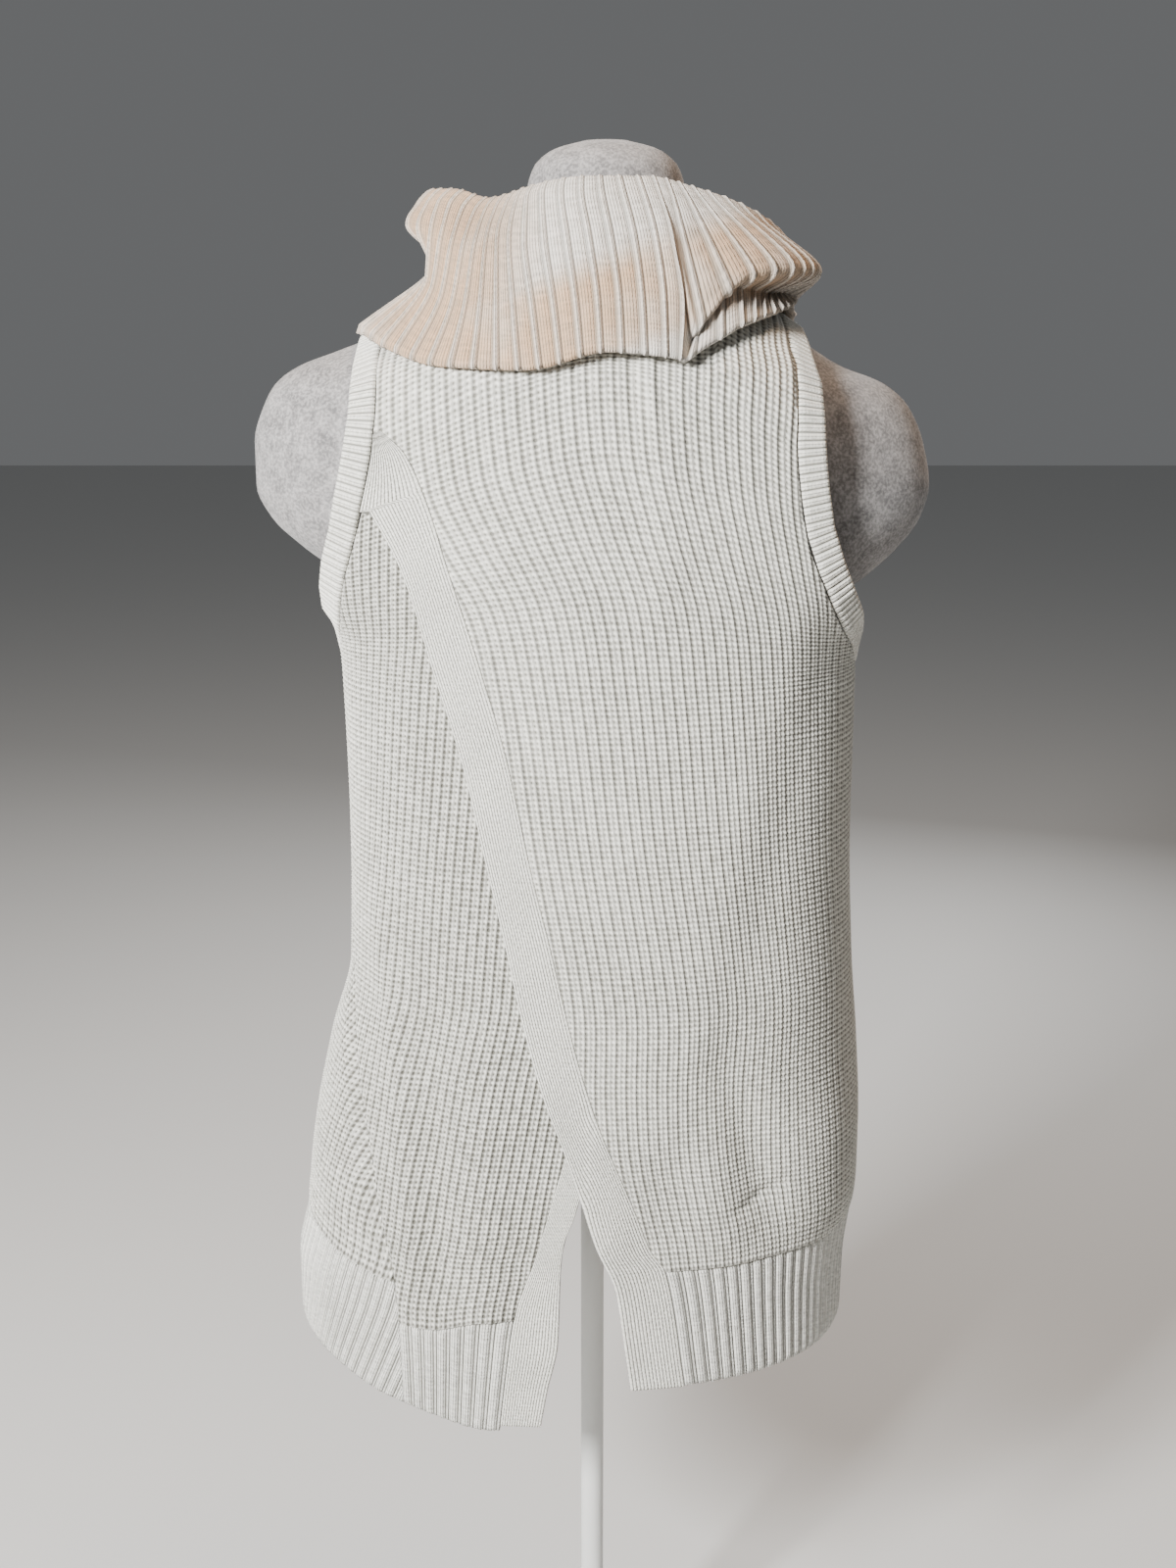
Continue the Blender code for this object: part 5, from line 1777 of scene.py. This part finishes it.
@dataclass
class Stand:
    """The round base with its boss, and the pole. Sizes are in mm, and heights are above the floor."""

    pole_radius: float = 8.0
    base_radius: float = 150.0
    base_height: float = 9.0
    foot_round: float = 2.0
    top_round: float = 4.0
    fillet: tuple[tuple[float, float], ...] = ((20, 0.4), (18, 2), (16.5, 5))
    boss_radius: float = 16.0
    boss_height: float = 30.0
    boss_round: float = 2.0
    form_bottom: float = 525.0
    sharp_angle: float = 35.0
    base_sides: int = 128
    pole_sides: int = 64

    def turned(self, name: str, outline: list[tuple[float, float]], sides: int) -> bpy.types.Object:
        """A round piece from its outline, closed at both ends.

        Args:
            name: the object's name.
            outline: radius and height of each point, from the bottom's middle to the top's.
            sides: number of faces round it.

        Returns:
            The piece as an object.
        """
        radius, height = np.array(outline, float).T
        angle = np.arange(sides + 1)[None, :] / sides * 2 * math.pi
        made = turned_mesh(name, np.stack([radius[:, None] * np.cos(angle), radius[:, None] * np.sin(angle),
                                           height[:, None] - MIDDLE + 0 * angle], -1))
        made.data.set_sharp_from_angle(angle=math.radians(self.sharp_angle))
        return made

    @staticmethod
    def rounded(radius: float, height: float, size: float, up: bool,
                steps: int = 6) -> list[tuple[float, float]]:
        """Points of a quarter round at an outer corner, from the low side to the high side.

        Args:
            radius: the corner's distance from the axis.
            height: the corner's height.
            size: radius of the round.
            up: the corner is an upper one.
            steps: number of points.

        Returns:
            Radius and height of each point.
        """
        turn = np.linspace(0, math.pi / 2, steps)
        if up:
            return list(zip(radius - size + size * np.cos(turn), height - size + size * np.sin(turn)))
        return list(zip(radius - size + size * np.sin(turn), height + size - size * np.cos(turn)))

    def build(self) -> list[tuple[str, bpy.types.Object]]:
        """Build the base and the pole.

        Returns:
            Node and object of each.
        """
        high, boss = self.base_height, self.base_height + self.boss_height
        base = [(0, 0), (self.base_radius - self.foot_round, 0),
                *self.rounded(self.base_radius, 0, self.foot_round, False),
                *self.rounded(self.base_radius, high, self.top_round, True),
                *((radius, high + rise) for radius, rise in self.fillet),
                *self.rounded(self.boss_radius, boss, self.boss_round, True), (0, boss)]
        low, top = boss + SEAM, self.form_bottom - SEAM
        pole = [(0, low), (self.pole_radius, low), (self.pole_radius, top), (0, top)]
        return [("stand_base", self.turned("stand_base", base, self.base_sides)),
                ("stand_pole", self.turned("stand_pole", pole, self.pole_sides))]


# ---- light, floor and camera ------------------------------------------------------------------------
@dataclass(frozen=True)
class Lamp:
    """A square soft light that looks at a target. Places and sizes are in metres, power in watts."""

    name: str
    place: tuple[float, float, float]
    power: float
    size: float
    colour: tuple[float, float, float]
    target: tuple[float, float, float] = (0.0, 0.0, 0.75)

    def build(self) -> None:
        """Add the light to the scene, turned so that it looks from its place to its target."""
        lamp = bpy.data.lights.new(self.name, "AREA")
        lamp.energy, lamp.size, lamp.color = self.power, self.size, self.colour
        made = bpy.data.objects.new(self.name, lamp)
        made.location = self.place
        away = np.array(self.place) - np.array(self.target)
        made.rotation_euler = (math.acos(away[2] / np.linalg.norm(away)), 0,
                               math.atan2(away[1], away[0]) + math.pi / 2)
        bpy.context.scene.collection.objects.link(made)


@dataclass
class Studio:
    """A pale floor, soft lights and the camera at the photograph's angle.

    The strongest light stands left of the camera. A weak one is behind the form, a warm one above it and one
    at its left, and pale light comes from all round.
    """

    camera_at: tuple[float, float, float] = (-0.003, -1.2, 1.014)
    pitch: float = 14.0
    focal_px: float = 1920.0
    picture: tuple[int, int] = (1200, 1600)
    sensor_height: float = 24.0
    floor_reach: float = 12.0
    floor_colour: tuple[float, float, float, float] = (0.62, 0.62, 0.61, 1)
    floor_roughness: float = 0.9
    sky_colour: tuple[float, float, float, float] = (0.86, 0.88, 0.90, 1)
    sky_strength: float = 0.16
    lamps: tuple[Lamp, ...] = (
        Lamp("front_light", (-1.15, -1.6, 1.6), 143.0, 0.45, (1.0, 0.995, 0.98)),
        Lamp("far_light", (0.7, 2.0, 1.5), 26.0, 1.2, (0.98, 0.99, 1.0)),
        Lamp("top_light", (0.4, 0.1, 2.6), 24.0, 0.6, (1.0, 0.72, 0.50), (0, 0, 0.9)),
        Lamp("side_light", (-2.2, -0.6, 1.2), 14.0, 1.2, (1.0, 0.99, 0.97)))

    def floor(self) -> None:
        """A pale floor plate."""
        mesh = bpy.data.meshes.new("floor")
        size = self.floor_reach
        mesh.from_pydata([(-size, -size, 0), (size, -size, 0), (size, size, 0), (-size, size, 0)], [],
                         [(0, 1, 2, 3)])
        made = bpy.data.objects.new("floor", mesh)
        bpy.context.scene.collection.objects.link(made)
        finish, _, _ = new_material("pale_floor", Base_Color=self.floor_colour,
                                    Roughness=self.floor_roughness)
        mesh.materials.append(finish)

    def lights(self) -> None:
        """Add the lamps, and the pale light that comes from all round."""
        for lamp in self.lamps:
            lamp.build()
        world = bpy.data.worlds.new("studio")
        world.use_nodes = True
        sky = world.node_tree.nodes["Background"]
        sky.inputs["Color"].default_value = self.sky_colour
        sky.inputs["Strength"].default_value = self.sky_strength
        bpy.context.scene.world = world

    def camera(self) -> None:
        """The camera, whose focal length in pixels fits a picture of 1200 by 1600."""
        lens = bpy.data.cameras.new("camera")
        lens.sensor_fit = "VERTICAL"
        lens.sensor_height = self.sensor_height
        lens.lens = self.focal_px / self.picture[1] * lens.sensor_height
        made = bpy.data.objects.new("camera", lens)
        made.location = self.camera_at
        made.rotation_euler = (math.radians(90 - self.pitch), 0, 0)
        bpy.context.scene.collection.objects.link(made)
        bpy.context.scene.camera = made

    def build(self) -> None:
        """Build the whole studio."""
        self.floor()
        self.lights()
        self.camera()


def main() -> None:
    """Load the frame, and build and dress every piece."""
    logging.basicConfig(level=logging.INFO, format="%(name)s: %(message)s")
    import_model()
    Studio().build()
    sweater = Sweater(StitchGroups())
    sweater.build()
    felt, paint = FeltFinish().material(), PaintFinish().material()
    hand_over(DressForm().build(), "dress_form", felt)
    for node, piece in Stand().build():
        hand_over(piece, node, paint)


if __name__ == "__main__":
    main()
